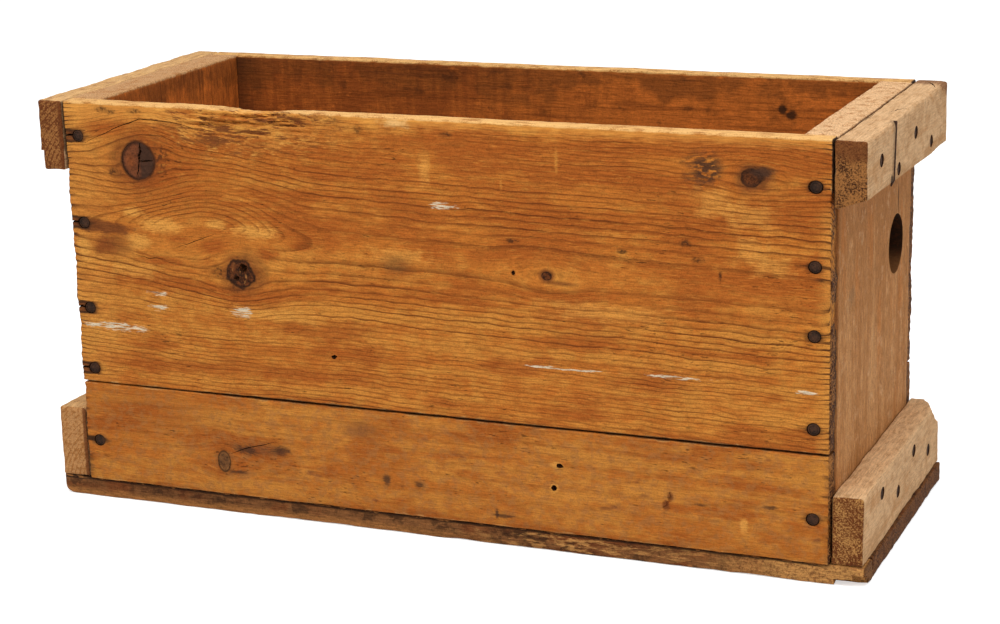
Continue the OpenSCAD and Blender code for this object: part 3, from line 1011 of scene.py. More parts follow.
class BOX_OT_front_upper_board(bpy.types.Operator):
    """Wide front board with knots, a crack, nail splits and a torn top edge"""
    bl_idname = "box.front_upper_board"
    bl_label = "Front Upper Board"

    LARGE = Knot(-204.8, 237.7, 12.0, 12.5, bend=0.82)
    ROTTEN = Knot(-131.9, 167.0, 9.5, 10.0, bend=0.75)
    GREY = Knot(211.5, 249.2, 7.0, 5.8, bend=0.75, reach_along=4.0, reach_across=2.6)
    PIN = Knot(80.1, 180.7, 3.2, 2.7, bend=0.9, reach_along=7.5, reach_across=4.4)
    SCRAPES = (
        Mark(188.0, 233.5, 11.0, 9.0), Mark(210.0, 226.0, 15.0, 7.5), Mark(213.0, 205.0, 11.0, 8.0),
        Mark(224.5, 197.0, 12.0, 6.5), Mark(0.0, 243.5, 3.5, 10.0), Mark(-18.0, 187.0, 18.0, 4.0),
        Mark(-214.0, 163.0, 20.0, 5.0), Mark(-110.0, 141.0, 26.0, 4.0), Mark(120.0, 160.0, 40.0, 5.0),
    )
    SMUDGES = (
        Mark(-223.4, 229.1, 5.0, 2.5), Mark(-147.5, 166.8, 7.0, 4.0), Mark(-138.0, 156.5, 5.0, 3.5),
        Mark(15.3, 265.6, 5.0, 1.6), Mark(58.1, 201.4, 5.0, 1.8), Mark(58.3, 181.1, 1.6, 2.2),
        Mark(129.8, 199.9, 3.5, 1.8), Mark(170.0, 207.5, 4.0, 3.0), Mark(178.0, 197.5, 4.5, 2.5),
        Mark(191.6, 187.6, 1.2, 4.0), Mark(-231.0, 270.5, 4.5, 2.4), Mark(-224.0, 269.5, 5.0, 2.0),
        Mark(-205.0, 270.5, 6.0, 2.0), Mark(-44.2, 266.0, 3.5, 2.8), Mark(-62.0, 271.0, 12.0, 2.0),
    )
    PALE = (
        Mark(-191.4, 195.0, 24.0, 8.0), Mark(-122.0, 195.5, 22.0, 6.5), Mark(-209.0, 183.0, 13.0, 9.0),
        Mark(-251.0, 177.0, 9.0, 11.0), Mark(-150.0, 198.0, 12.0, 4.0), Mark(-212.0, 203.0, 11.0, 5.0),
    )
    REDDISH = (
        Mark(-234.5, 179.0, 13.0, 9.0), Mark(-152.7, 183.5, 14.0, 8.0), Mark(-178.0, 187.0, 12.0, 3.5),
        Mark(-113.0, 181.0, 11.0, 7.0), Mark(-190.0, 171.0, 26.0, 5.0), Mark(-90.0, 188.0, 12.0, 5.0),
    )
    SCUFFS = (
        Mark(13.0, 220.5, 10.0, 2.6), Mark(-232.0, 123.3, 28.0, 3.0), Mark(-197.0, 149.0, 8.0, 2.2),
        Mark(95.0, 122.1, 32.0, 1.0), Mark(168.0, 123.0, 26.0, 1.2), Mark(247.0, 121.0, 8.0, 1.6),
        Mark(-134.0, 140.5, 9.0, 3.6), Mark(-198.0, 139.0, 8.0, 2.2),
    )
    SCRATCHES = (Mark(88.0, 253.5, 1.6, 11.0), Mark(3.5, 247.5, 1.6, 8.0), Mark(51.5, 237.0, 1.6, 5.5))

    def grow(self, wood, wear):
        """Rings round a heart that comes close to the face at the left, where they show as an eye."""
        heart = 187.5 - wood.along * 0.025
        eye = wood.fall((wood.along + 162.0) / 48.0)
        above = wood.step(wood.lined - heart, -14.0, 6.0)
        sink = 30.0 - 22.0 * eye * (0.35 + 0.65 * above)
        wood.rings(heart, wood.low.y - sink, wear.side_ring)
        hidden = wood.spot(-172.0, 186.5, 92.0, 16.5, ragged=0.7, soft=0.5)
        faint = wood.spot(0.0, 252.0, 105.0, 24.0, ragged=0.8, soft=0.9)
        wood.late = wood.late * (1.0 - hidden * 0.93) * (1.0 - faint * 0.55)

    def ground_stains(self, wood, colours):
        """Pale and red patches that the late wood lines run through."""
        wood.paint(wood.spot(-172.0, 186.5, 85.0, 15.0, ragged=0.9, soft=0.8), colours.amber, 0.7)
        wood.paint(wood.spot(-195.0, 228.0, 64.0, 36.0, ragged=1.2, soft=0.9), colours.russet, 0.65)
        left = wood.along + (wood.blot - 0.5) * 50.0 + (wood.fibre - 0.5) * 24.0
        wood.paint(wood.step(left, -214.0, -252.0), colours.bare, 0.3)
        wood.paint(wood.spot(-230.0, 259.0, 22.0, 9.0, ragged=0.8, soft=0.9), colours.russet, 0.9)
        wood.paint(wood.spot(160.0, 244.0, 46.0, 12.0, ragged=1.0, soft=0.9), colours.russet, 0.7)
        for mark in self.REDDISH:
            wood.paint(wood.spot(*mark, ragged=1.2, soft=0.8), colours.russet, 0.9)
        for mark in self.PALE:
            wood.paint(wood.spot(*mark, ragged=0.9, soft=0.8), colours.bare, 0.78)
        for mark in self.SCRAPES:
            wood.paint(wood.block(*mark), colours.bare, 0.5)
        right = wood.along + (wood.fibre - 0.5) * 14.0 + (wood.mottle - 0.5) * 12.0 + (wood.blot - 0.5) * 16.0
        wood.paint(wood.step(right, 250.0, 259.0) * wood.step(wood.across, 240.0, 225.0), colours.bare, 0.45)

    def stains(self, wood, colours):
        """Red and dark patches, scuffs, scratches and the rubbed top of the face."""
        wood.paint(self.rubbed_top(wood), colours.bare, 0.5)
        for mark in (Mark(-19.2, 271.0, 9.5, 2.8), Mark(-123.0, 273.6, 9.0, 1.2)):
            wood.paint(wood.block(*mark), colours.straw, 0.9)
        wood.paint(wood.spot(-234.0, 191.0, 25.0, 5.5, ragged=1.0, soft=0.4), colours.red_stain, 0.85)
        wood.paint(wood.spot(-229.0, 180.0, 24.0, 11.0, ragged=1.0, soft=0.8), colours.red_stain, 0.6)
        wood.paint(wood.spot(-21.0, 180.5, 17.0, 9.0, ragged=0.6, soft=0.8), colours.knot_grey, 0.48)
        freckle = wood.step(wood.grains(0.40, 3.0, 0.6), 0.46, 0.60)
        for mark in self.SMUDGES:
            mask = wood.spot(mark.along, mark.across, mark.half_along * 1.3, mark.half_across * 1.3, 0.9, 0.7)
            wood.paint(mask * (0.4 + freckle * 0.6), colours.grime_and_shade, 0.8)
        burst = wood.spot(-188.0, 240.0, 9.0, 15.0, ragged=0.5, soft=0.9)
        wood.paint(burst * freckle, colours.saw_brown, 0.8)
        rubbed = wood.step(wood.stretched(0.10, 0.8, 0.8, shift=81.0), 0.42, 0.55)
        for mark in self.SCUFFS:
            wood.paint(wood.spot(*mark, ragged=1.3, soft=0.4) * rubbed, colours.scuff, 0.8)
        for mark in self.SCRATCHES:
            wood.paint(wood.spot(*mark, ragged=0.8, soft=0.9), colours.honey, 0.7)
        blots = wood.step(wood.stretched(0.14, 0.42, 0.42, detail=3.0, shift=86.0), 0.40, 0.52)
        wood.paint(wood.spot(181.0, 253.0, 17.0, 16.0, ragged=0.8, soft=0.8) * blots, colours.knot_grey, 0.9)

    def rubbed_top(self, wood):
        """The smooth band along the top of the face, wider at the left. Fibres hardly show in it."""
        reach = 7.5 + wood.step(wood.along + (wood.blot - 0.5) * 60.0, -150.0, -190.0) * 6.5
        ragged = wood.below_top + (wood.mottle - 0.5) * 6.0 + (wood.fibre - 0.5) * 6.0
        return wood.step(ragged, reach * 1.25, reach * 0.1)

    def knots(self, wood, colours):
        """The four knots, each with its own look."""
        wood.knot_mark(self.LARGE, colours.knot, colours.knot_rim, colours.red_stain, 0.55, 0.35, 0.1)
        side = wood.step(wood.along - self.LARGE.along + (wood.mottle - 0.5) * 4.0, -1.0, 3.0)
        disc = wood.spot(*self.LARGE[:4], ragged=0.1, soft=0.08)
        wood.paint(disc * side, colours.knot_grey, 0.95)
        warm = wood.spot(self.LARGE.along - 5.5, self.LARGE.across - 1.0, 5.0, 7.0, ragged=0.6, soft=0.9)
        wood.paint(warm, colours.russet, 0.3)
        wood.knot_mark(self.ROTTEN, colours.red_stain, colours.knot_rim, colours.red_stain, 0.7, 0.8, 0.6)
        rotten = wood.spot(*self.ROTTEN[:4], ragged=1.2, soft=0.5)
        wood.paint(rotten * wood.step(wood.grains(0.22, 4.0, 0.7), 0.42, 0.60), colours.knot_rim, 0.85)
        pale = wood.step(wood.stretched(0.5, 0.5, 0.5, detail=3.0, shift=77.0), 0.60, 0.70)
        wood.paint(wood.spot(*self.ROTTEN[:4], soft=0.3) * pale, colours.end_brown, 0.7)
        far = wood.knot_mark(self.GREY, colours.red_stain, colours.knot_rim, colours.red_stain, 0.8, 0.6, 0.6)
        arcs = wood.step(wood.math("FRACT", far * 2.0 + wood.mottle * 0.6), 0.45, 0.8)
        wood.paint(arcs * wood.step(far, 1.5, 0.8), colours.knot_rim, 0.5)
        wood.paint(wood.spot(218.5, 253.3, 11.0, 5.0, ragged=1.0, soft=0.8), colours.knot_grey, 0.9)
        wood.paint(wood.spot(90.0, 176.5, 16.0, 2.0, ragged=0.6, soft=0.9), colours.red_stain, 0.7)
        wood.knot_mark(self.PIN, colours.red_stain, colours.knot_rim, colours.red_stain, 0.8, 0.9, 0.5)

    def splinters(self, wood, colours):
        """Pale slivers and dark flecks where the top edge is torn."""
        torn = wood.step(wood.distance(-124.0, 267.0, 74.0, 25.0, ragged=1.4), 1.0, 0.5)
        wood.paint(torn, colours.bare, 0.3)
        chunk = wood.stretched(0.07, 0.20, 0.20, detail=4.0, rough=0.65, shift=87.0)
        hole = wood.stretched(0.06, 0.34, 0.34, detail=4.0, rough=0.65, shift=91.0)
        wood.paint(torn * wood.step(chunk, 0.54, 0.64), colours.bare, 0.7)
        wood.paint(torn * wood.step(chunk, 0.48, 0.38), colours.russet, 0.7)
        wood.paint(torn * wood.step(hole, 0.51, 0.58), colours.red_stain, 0.9)

    def wood(self, colours, wear):
        knots = (self.LARGE, self.ROTTEN, self.GREY, self.PIN)
        wood = Wood("front_upper_pine", "front_upper_board", X, Z, Y, knots)
        self.grow(wood, wear)
        bias = wood.step(wood.across, 148.0, 206.0) * 0.05 - 0.01
        bias = bias + wood.step(wood.along, -80.0, 120.0) * 0.03
        wood.ground(colours.honey, colours.amber, colours.russet, bias)
        self.ground_stains(wood, colours)
        wood.lines(colours.late_wood, 1.0, colours.honey)
        wood.dashes()
        self.stains(wood, colours)
        self.splinters(wood, colours)
        self.knots(wood, colours)
        wood.end_ticks(colours.saw_brown)
        wood.inner_wall(wood.high.y, colours.inside, colours.inside_dark, colours.grime_and_shade)
        wood.worn_arris(colours.straw, 1.0, 0.6)
        wood.rim(colours.straw, colours.end_brown)
        rough_ends(wood, colours, 1.0)
        dark_seam(wood, colours, wood.across - wood.low.z)
        for along, across in side_marks(("front_left_nails",), "front_upper_board"):
            split_stain(wood, colours, along, across)
        wood.nail_stain(side_marks(FRONT_NAILS, "front_upper_board"), wood.low.y, colours.grime_and_shade)
        return wood.done(calm=self.rubbed_top(wood) * 0.5)

    def tear(self, place, top, outer):
        """How far the torn top edge moves a point."""
        along = place.x / MM
        down = (top - place.z) / MM
        in_deep = (place.y - outer) / MM
        reach = math.exp(-((along + 122.0) / 46.0) ** 4)
        if reach < 0.02 or down > 30.0:
            return Vector()
        strand = noise.noise(Vector((along * 0.030, down * 0.40, 3.0)))
        fine = noise.noise(Vector((along * 0.15, down * 1.0, 8.0)))
        layers = math.floor((0.55 + strand + fine * 0.4) * 4.0) / 4.0
        fade = max(0.0, 1.0 - down / (15.0 + 9.0 * strand))
        into = 3.4 * reach * max(0.0, layers) * min(1.0, fade * 2.2) * max(0.0, 1.0 - in_deep / 7.0)
        dip = 2.3 * math.exp(-((along + 118.0) / 20.0) ** 2) + 0.6 * reach * abs(fine)
        low = dip * max(0.0, 1.0 - down / 9.0)
        return Vector((0.0, into * MM, -low * MM))

    def cracks(self, low, high, dark):
        """Cutters for the cracks, the knot's checks, the holes and the slits at the ends."""
        front = Face(X, Z, Y, low.y, -1)
        top = Face(X, Y, Z, high.z, 1)
        ring = []
        for step in range(10):
            turn = math.radians(95.0 + step * 22.0)
            ring.append((self.LARGE.along + math.cos(turn) * self.LARGE.half_along,
                         self.LARGE.across + math.sin(turn) * self.LARGE.half_across))
        return [
            crack_cutter(front, ((-244.5, 247.5), (-222.0, 258.0), (-201.5, 265.5), (-179.0, 264.5),
                                 (-153.5, 259.5)), 0.9, 2.2, dark, 1.0),
            crack_cutter(front, ring, 0.6, 1.2, dark, 9.0),
            crack_cutter(front, ((-202.6, 249.5), (-203.4, 241.0), (-204.4, 236.5)), 2.4, 4.0, dark, 2.0),
            crack_cutter(front, ((-204.2, 238.5), (-205.0, 233.0), (-206.0, 227.0)), 1.5, 3.0, dark, 2.5),
            crack_cutter(front, ((-203.6, 237.4), (-199.0, 237.8), (-193.6, 238.0)), 1.5, 3.0, dark, 3.0),
            crack_cutter(front, ((-211.0, 174.0), (-202.0, 172.5), (-189.0, 172.8)), 0.8, 1.5, dark, 14.0),
            crack_cutter(front, ((-181.0, 180.5), (-165.0, 186.5), (-151.0, 192.0)), 0.7, 1.5, dark, 4.0),
            pit_cutter(front, -131.0, 170.5, 3.0, 3.4, 4.0, dark, 1.0),
            pit_cutter(front, -136.5, 163.5, 2.2, 1.6, 2.5, dark, 6.0),
            pit_cutter(front, -68.0, 116.0, 2.0, 1.3, 3.0, dark, 2.0),
            pit_cutter(front, 58.3, 181.1, 1.2, 1.5, 2.0, dark, 3.0),
            crack_cutter(top, ((-259.0, -94.8), (-246.0, -95.4), (-233.0, -94.8)), 2.2, 5.0, dark, 12.0),
            crack_cutter(top, ((257.0, -95.0), (247.0, -95.6), (235.0, -95.0)), 1.3, 4.0, dark, 13.0),
        ]

    def execute(self, context):
        colours = context.scene.box_colours
        wear = context.scene.box_wear
        piece, low, high = blank("worn_front_upper_board", "front_upper_board", wear.arris, wear.cell)
        refine(piece, lambda face: face.calc_center_median().z > high.z - 0.026
               and -0.182 < face.calc_center_median().x < -0.058 and face.normal.y < 0.9, cuts=3)
        piece.data.materials.append(self.wood(colours, wear))
        weather(piece, low, high, wear, X)
        fray_ends(piece, low, high, X, 1.4, 3.0)
        move_points(piece, lambda place: self.tear(place, high.z, low.y))
        dark = shared_finish("crack_dark", crack_finish)
        subtract(piece, nail_bores(low, high, dark, X))
        subtract(piece, self.cracks(low, high, dark))
        front = Face(X, Z, Y, low.y, -1)
        splits = []
        for index, (along, across) in enumerate(side_marks(("front_left_nails",), "front_upper_board")):
            path = ((along - 1.0, across), (along - 6.0, across + 0.4), (low.x / MM - 3.0, across - 0.3))
            splits.append(crack_cutter(front, path, 2.0, 4.0, dark, 10.0 + index))
        subtract(piece, splits)
        finish_piece(piece, "front_upper_board")
        return {"FINISHED"}


class BOX_OT_front_lower_board(bpy.types.Operator):
    """Narrow front board with an oval knot, small holes and a gouge"""
    bl_idname = "box.front_lower_board"
    bl_label = "Front Lower Board"

    OVAL = Knot(-153.5, 36.3, 4.6, 7.2, bend=0.8, reach_along=4.0)
    SMUDGES = (
        Mark(-33.6, 35.9, 4.0, 5.0), Mark(-10.9, 35.0, 4.5, 3.5), Mark(-143.0, 29.5, 9.0, 2.0),
        Mark(-134.0, 45.5, 13.0, 5.0), Mark(-113.0, 47.5, 13.0, 4.5), Mark(178.0, 42.7, 6.0, 1.2),
        Mark(224.0, 46.0, 6.0, 1.8), Mark(48.4, 20.5, 9.0, 1.6), Mark(43.0, 22.0, 1.4, 5.0),
    )

    def wood(self, colours):
        wood = Wood("front_lower_pine", "front_lower_board", X, Z, Y, (self.OVAL,))
        wood.rings(23.5, wood.low.y - 46.0, 3.8, wander=9.0)
        patch = wood.stretched(0.018, 0.06, 0.06, detail=4.0, shift=47.0)
        wood.ground(colours.honey, colours.amber, colours.russet, (patch - 0.5) * 0.3)
        wood.paint(wood.spot(-205.0, 65.5, 60.0, 22.0, ragged=1.6, soft=0.9), colours.russet, 0.6)
        wood.lines(colours.late_wood, 0.28, colours.honey)
        wood.paint(wood.step(wood.grains(0.16, 4.0, 0.7), 0.46, 0.62), colours.end_brown, 0.55)
        wood.dashes(0.6)
        wood.paint(wood.step(wood.stretched(0.05, 0.12, 0.12, shift=48.0), 0.66, 0.76), colours.knot, 0.6)
        for mark in (Mark(82.5, 43.1, 4.2, 4.0), Mark(84.5, 58.3, 6.0, 3.0)):
            wood.paint(wood.spot(*mark, ragged=0.5), colours.bare, 0.6)
        for mark in (Mark(156.5, 40.0, 3.2, 4.6), Mark(159.3, 46.0, 2.6, 4.0)):
            wood.paint(wood.spot(*mark, ragged=0.4, soft=0.6), colours.red_stain, 0.8)
        for mark in (Mark(-126.0, 47.0, 30.0, 7.0), Mark(-50.0, 68.0, 20.0, 9.0)):
            wood.paint(wood.spot(*mark, ragged=1.2, soft=0.9), colours.knot, 0.6)
        for mark in self.SMUDGES:
            wood.paint(wood.spot(*mark, ragged=1.6, soft=0.8), colours.knot_grey, 0.8)
        wood.paint(wood.spot(14.2, 49.2, 9.0, 3.0, ragged=1.4), colours.honey, 0.6)
        wood.paint(wood.block(206.5, 32.0, 2.6, 5.0), colours.bare, 0.8)
        wood.knot_mark(self.OVAL, colours.end_brown, colours.knot_rim, colours.red_stain, 0.5, rough=0.6)
        wood.paint(wood.spot(*self.OVAL[:4], ragged=0.3, soft=0.3), colours.knot_grey, 0.6)
        wood.end_ticks(colours.saw_brown, 6.0, 0.7)
        wood.inner_wall(wood.high.y, colours.inside, colours.inside_dark, colours.grime_and_shade)
        wood.worn_arris(colours.straw, 0.8, 0.3)
        rough_ends(wood, colours, 1.0)
        dark_seam(wood, colours, wood.below_top + 0.5)
        nails = side_marks(FRONT_NAILS, "front_lower_board")
        wood.nail_stain(nails, wood.low.y, colours.grime_and_shade)
        tail = wood.spot(-254.0, 42.0, 13.0, 2.8, ragged=0.6)
        wood.paint(tail * wood.skin(wood.low.y, 3.0), colours.grime_and_shade, 0.85)
        return wood.done(crisp=0.8)

    def execute(self, context):
        wear = context.scene.box_wear
        piece, low, high = blank("worn_front_lower_board", "front_lower_board", wear.arris, wear.cell)
        finish = self.wood(context.scene.box_colours)
        piece.data.materials.append(finish)
        weather(piece, low, high, wear, X)
        fray_ends(piece, low, high, X, 1.4, 17.0)
        dark = shared_finish("crack_dark", crack_finish)
        subtract(piece, nail_bores(low, high, dark, X))
        front = Face(X, Z, Y, low.y, -1)
        subtract(piece, [
            pit_cutter(front, 82.5, 43.1, 1.9, 2.0, 5.0, dark, 3.0),
            pit_cutter(front, 86.5, 58.3, 2.4, 1.5, 3.0, dark, 4.0),
            crack_cutter(front, ((155.5, 37.0), (157.8, 43.0), (160.5, 48.5)), 4.4, 0.9, finish, 5.0),
            crack_cutter(front, ((-148.0, 42.0), (-135.0, 47.5), (-115.0, 53.0)), 1.1, 1.5, dark, 7.0),
        ])
        finish_piece(piece, "front_lower_board")
        return {"FINISHED"}


class BOX_OT_back_boards(bpy.types.Operator):
    """Two back boards, stained dark on the inside, with painted light toward the right and painted shade in
    the inside corner at the left end
    """
    bl_idname = "box.back_boards"
    bl_label = "Back Boards"

    def wood(self, node, colours, wear, pith):
        knots = (Knot(96.0, pith - 40.0, 9.0, 9.5), Knot(-60.0, pith + 22.0, 6.0, 7.0))
        wood = Wood(node.replace("board", "pine"), node, X, Z, Y, knots)
        wood.rings(pith, wood.high.y + 34.0, wear.side_ring * 1.15, wander=8.0)
        wood.tones(colours.honey, colours.amber, colours.russet, colours.late_wood, 0.8, 0.04)
        wood.dashes()
        for knot in knots:
            wood.knot_mark(knot, colours.knot, colours.knot_rim, colours.red_stain)
        wood.end_ticks(colours.saw_brown)
        # Painted light: the inside of the back boards grows brighter toward the right.
        bright = wood.step(wood.along, -90.0, 110.0) * 0.20 - 0.05
        inner = wood.inner_wall(wood.low.y, colours.inside, colours.inside_dark, colours.grime_and_shade, bright=bright)
        # Painted shade: the inside of the back boards darkens into the corner at the left end.
        corner = wood.step(wood.along + (wood.mottle - 0.5) * 14.0, -212.0, -236.0)
        wood.paint(corner * inner, colours.grime_and_shade, 0.55)
        for mark in (Mark(172.5, 252.5, 4.6, 4.8), Mark(179.0, 249.5, 5.0, 3.6)):
            wood.paint(wood.spot(*mark, ragged=0.8) * inner, colours.grime_and_shade, 0.9)
        if node == "back_upper_board":
            wood.rim(colours.straw, colours.end_brown)
            dark_seam(wood, colours, wood.across - wood.low.z)
        else:
            dark_seam(wood, colours, wood.below_top + 0.5)
        rough_ends(wood, colours, -1.0)
        wood.nail_stain(side_marks(BACK_NAILS, node), wood.high.y, colours.grime_and_shade)
        return wood.done()

    def execute(self, context):
        wear = context.scene.box_wear
        dark = shared_finish("crack_dark", crack_finish)
        for node, pith in (("back_upper_board", 193.0), ("back_lower_board", 69.0)):
            piece, low, high = blank("worn_" + node, node, wear.arris, wear.cell)
            piece.data.materials.append(self.wood(node, context.scene.box_colours, wear, pith))
            weather(piece, low, high, wear, X)
            fray_ends(piece, low, high, X, 0.9, pith)
            subtract(piece, nail_bores(low, high, dark, X))
            finish_piece(piece, node)
        return {"FINISHED"}


class BOX_OT_end_boards(bpy.types.Operator):
    """Two end boards with upright grain, the right one with a bored hole"""
    bl_idname = "box.end_boards"
    bl_label = "End Boards"

    # Lengths in mm
    HOLE_ACROSS = 53.0
    HOLE_HEIGHT = 176.5
    HOLE_RADIUS = 19.0
    RIM_DEEP = 0.8
    RIM_PAST = 0.4
    RIM_WIDE = 0.9

    def wood(self, node, colours, inner, outer):
        wood = Wood(node.replace("board", "pine"), node, Z, Y, X)
        wood.rings(14.0, outer + (outer - inner) * 2.2, 4.6, wander=16.0, ripple=3.0)
        bias = wood.step(wood.along, 60.0, 230.0) * 0.12 - 0.06
        wood.tones(colours.end_tan, colours.end_brown, colours.end_brown, colours.end_brown, 0.5, bias)
        streak = wood.step(wood.stretched(0.006, 0.10, 0.1, detail=3.0, shift=14.0), 0.46, 0.62)
        wood.paint(streak, colours.end_brown, 0.5)
        wood.paint(wood.step(wood.stretched(0.012, 0.05, 0.05, shift=15.0), 0.56, 0.70), colours.amber, 0.4)
        wood.paint(wood.step(wood.grains(0.022, 3.0, 0.6), 0.46, 0.62), colours.end_brown, 0.3)
        wood.paint(wood.step(wood.grains(0.07, 4.0, 0.65), 0.52, 0.66), colours.end_brown, 0.45)
        wood.paint(wood.step(wood.grains(0.09, 4.0, 0.65), 0.42, 0.32), colours.weathered, 0.30)
        wood.dashes(0.5)
        if outer > 0.0:
            wood.paint(wood.spot(171.5, -62.0, 9.0, 9.0, ragged=1.6, soft=0.9), colours.grime_and_shade, 0.35)
            wood.paint(wood.spot(206.5, 58.0, 13.0, 1.6, ragged=0.8), colours.grime_and_shade, 0.7)
        edge = wood.step(wood.edge_gap + (wood.mottle - 0.5) * 4.0, 2.6, 0.4)
        wood.paint(edge * wood.skin(outer, 3.0), colours.red_stain, 0.6)
        wood.inner_wall(inner, colours.inside, colours.inside_dark, colours.grime_and_shade, (0.010, 0.40), 0.13)
        if outer > 0.0:
            wood.rim(colours.weathered, colours.end_brown)
        else:
            wood.rim(colours.weathered_dark, colours.end_brown)
        seam = wood.step(abs(wood.deep - outer) + (wood.grit - 0.5) * 1.2, 0.9, 0.3)
        wood.paint(seam * wood.step(wood.below_top, 2.5, 1.0), colours.saw_brown, 0.7)
        return wood.done(crisp=1.3)

    def hole_cutter(self, low, high, finish):
        """A bored hole with slightly broken rims."""
        clear_selection()
        middle = Vector(((low.x + high.x) / 2, self.HOLE_ACROSS * MM, self.HOLE_HEIGHT * MM))
        straight = high.x - low.x - 2 * self.RIM_DEEP * MM
        past = (self.RIM_DEEP + self.RIM_PAST) * MM
        bpy.ops.mesh.primitive_cylinder_add(
            vertices=56, radius=self.HOLE_RADIUS * MM, depth=straight, location=middle,
            rotation=(0.0, math.radians(90.0), 0.0))
        drill = bpy.context.object
        bpy.ops.object.transform_apply(location=True, rotation=True, scale=True)
        flare = 1.0 + self.RIM_WIDE / self.HOLE_RADIUS
        with editing(drill):
            for side in (-1.0, 1.0):
                face_towards(drill, Vector((side, 0.0, 0.0)))
                bpy.ops.mesh.extrude_region_move(TRANSFORM_OT_translate={"value": (side * past, 0.0, 0.0)})
                bpy.ops.transform.resize(value=(1.0, flare, flare), center_override=middle)
        drill.data.materials.append(finish)
        return drill

    def bore_finish(self, colours):
        """Bored wood: nearly black, and paler along the bottom of the hole."""
        finish = Finish(bpy.data.materials.new("bored_pine"))
        point = finish.object_point()
        speck = finish.noise_at(finish.vector("MULTIPLY", point, (0.3, 0.9, 0.5)), 4.0, 0.65)
        height = finish.parts(point)[Z]
        low = finish.step(height + (speck - 0.5) * 10.0, self.HOLE_HEIGHT - 6.0, self.HOLE_HEIGHT - 19.0)
        shade = finish.mix(finish.step(speck, 0.40, 0.65), colours.grime_and_shade, colours.saw_brown)
        shade = finish.dimmed(shade, 0.55)
        shade = finish.mix(low * 0.6, shade, colours.bottom)
        return finish.close(shade, 0.85 + speck * 0.1, speck * 0.6, {"Specular IOR Level": 0.05})

    def execute(self, context):
        colours = context.scene.box_colours
        wear = context.scene.box_wear
        dark = shared_finish("crack_dark", crack_finish)
        for node, side in (("left_end_board", -1), ("right_end_board", 1)):
            piece, low, high = blank("worn_" + node, node, wear.arris, wear.cell)
            outer = (high.x if side > 0 else low.x) * MM_PER_METRE
            inner = (low.x if side > 0 else high.x) * MM_PER_METRE
            piece.data.materials.append(self.wood(node, colours, inner, outer))
            weather(piece, low, high, wear, Z)
            subtract(piece, nail_bores(low, high, dark, Z))
            if side > 0:
                subtract(piece, [self.hole_cutter(low, high, self.bore_finish(colours))])
                wall = Face(Y, Z, X, high.x, 1)
                subtract(piece, [crack_cutter(wall, ((58.0, 192.5), (59.0, 202.5), (58.5, 214.5)), 1.0, 2.5,
                                              dark, 6.0)])
            finish_piece(piece, node)
        return {"FINISHED"}


class BOX_OT_bottom_boards(bpy.types.Operator):
    """Wide bottom board and the dirty strip along the front"""
    bl_idname = "box.bottom_boards"
    bl_label = "Bottom Boards"

    def wood(self, node, colours):
        wood = Wood(node.replace("bottom", "base"), node, X, Y, Z)
        wood.rings(-96.0, -30.0, 3.2, wander=7.0)
        wood.tones(colours.bottom, colours.saw_brown, colours.red_stain, colours.grime_and_shade, 0.5, -0.05)
        wood.paint(wood.step(wood.grains(0.10, 4.0, 0.6), 0.50, 0.60), colours.grime_and_shade, 0.6)
        wood.paint(wood.step(wood.grains(0.045, 3.0), 0.50, 0.62), colours.red_stain, 0.7)
        if node == "bottom_front_strip":
            self.worn_strip(wood, colours)
        wood.worn_arris(colours.end_brown, 0.8, 0.6)
        wood.sawn_ends(colours.bottom, colours.saw_brown, 0.85)
        return wood.done(0.85, 1.3)

    def worn_strip(self, wood, colours):
        """The strip's front: tan along its foot at the left, flaking in the middle, bare at the right, and
        darkened along its top by dirt and painted shade under the board above.
        """
        foot = wood.step(wood.below_top + (wood.mottle - 0.5) * 8.0, 6.5, 10.5)
        wood.paint(foot * wood.step(wood.along, 90.0, -60.0), colours.end_brown, 0.7)
        flake = wood.step(wood.stretched(0.07, 0.3, 0.3, detail=4.0, rough=0.65, shift=33.0), 0.50, 0.60)
        wood.paint(flake * wood.fall((wood.along - 110.0) / 80.0), colours.saw_gold, 0.75)
        bare = wood.step(wood.along + (wood.blot - 0.5) * 90.0, 170.0, 235.0)
        rough = wood.step(wood.grains(0.5, 3.0, 0.7), 0.50, 0.62)
        wood.paint(bare, wood.mix(rough * 0.8, colours.saw_gold, colours.bottom), 0.85)
        # Dirt and painted shade: the top of the strip, under the board above, is darkened nearly black.
        dirty = wood.step(wood.below_top + (wood.mottle - 0.5) * 2.0, 2.4, 1.2)
        wood.paint(dirty * wood.step(wood.along, 266.0, 250.0), colours.grime_and_shade, 0.9)

    def execute(self, context):
        colours = context.scene.box_colours
        wear = context.scene.box_wear
        dark = shared_finish("crack_dark", crack_finish)
        for node in ("bottom_wide_board", "bottom_front_strip"):
            piece, low, high = blank("worn_" + node, node, wear.arris, wear.cell)
            finish = self.wood(node, colours)
            piece.data.materials.append(finish)
            weather(piece, low, high, wear, X, 1.2)
            if node == "bottom_front_strip":
                refine(piece, lambda face: face.calc_center_median().x < low.x + 0.012, cuts=1)
                ease_edge(piece, low, high, (X, -1), (Z, -1), lambda place: 0.0095)
                ease_edge(piece, low, high, (X, -1), (Y, -1), lambda place: 0.0040)
                chips = [
                    chip_cutter(Vector((0.262, low.y - 0.006, -0.008)),
                                Vector((0.300, low.y + 0.009, 0.0042)), finish, 3.0, 0.9),
                    chip_cutter(Vector((0.274, low.y - 0.006, -0.008)),
                                Vector((0.300, low.y + 0.004, 0.0075)), finish, 8.0, 0.8),
                ]
                for chip in chips:
                    subtract(piece, [chip])
            subtract(piece, nail_bores(low, high, dark, X))
            finish_piece(piece, node)
        return {"FINISHED"}


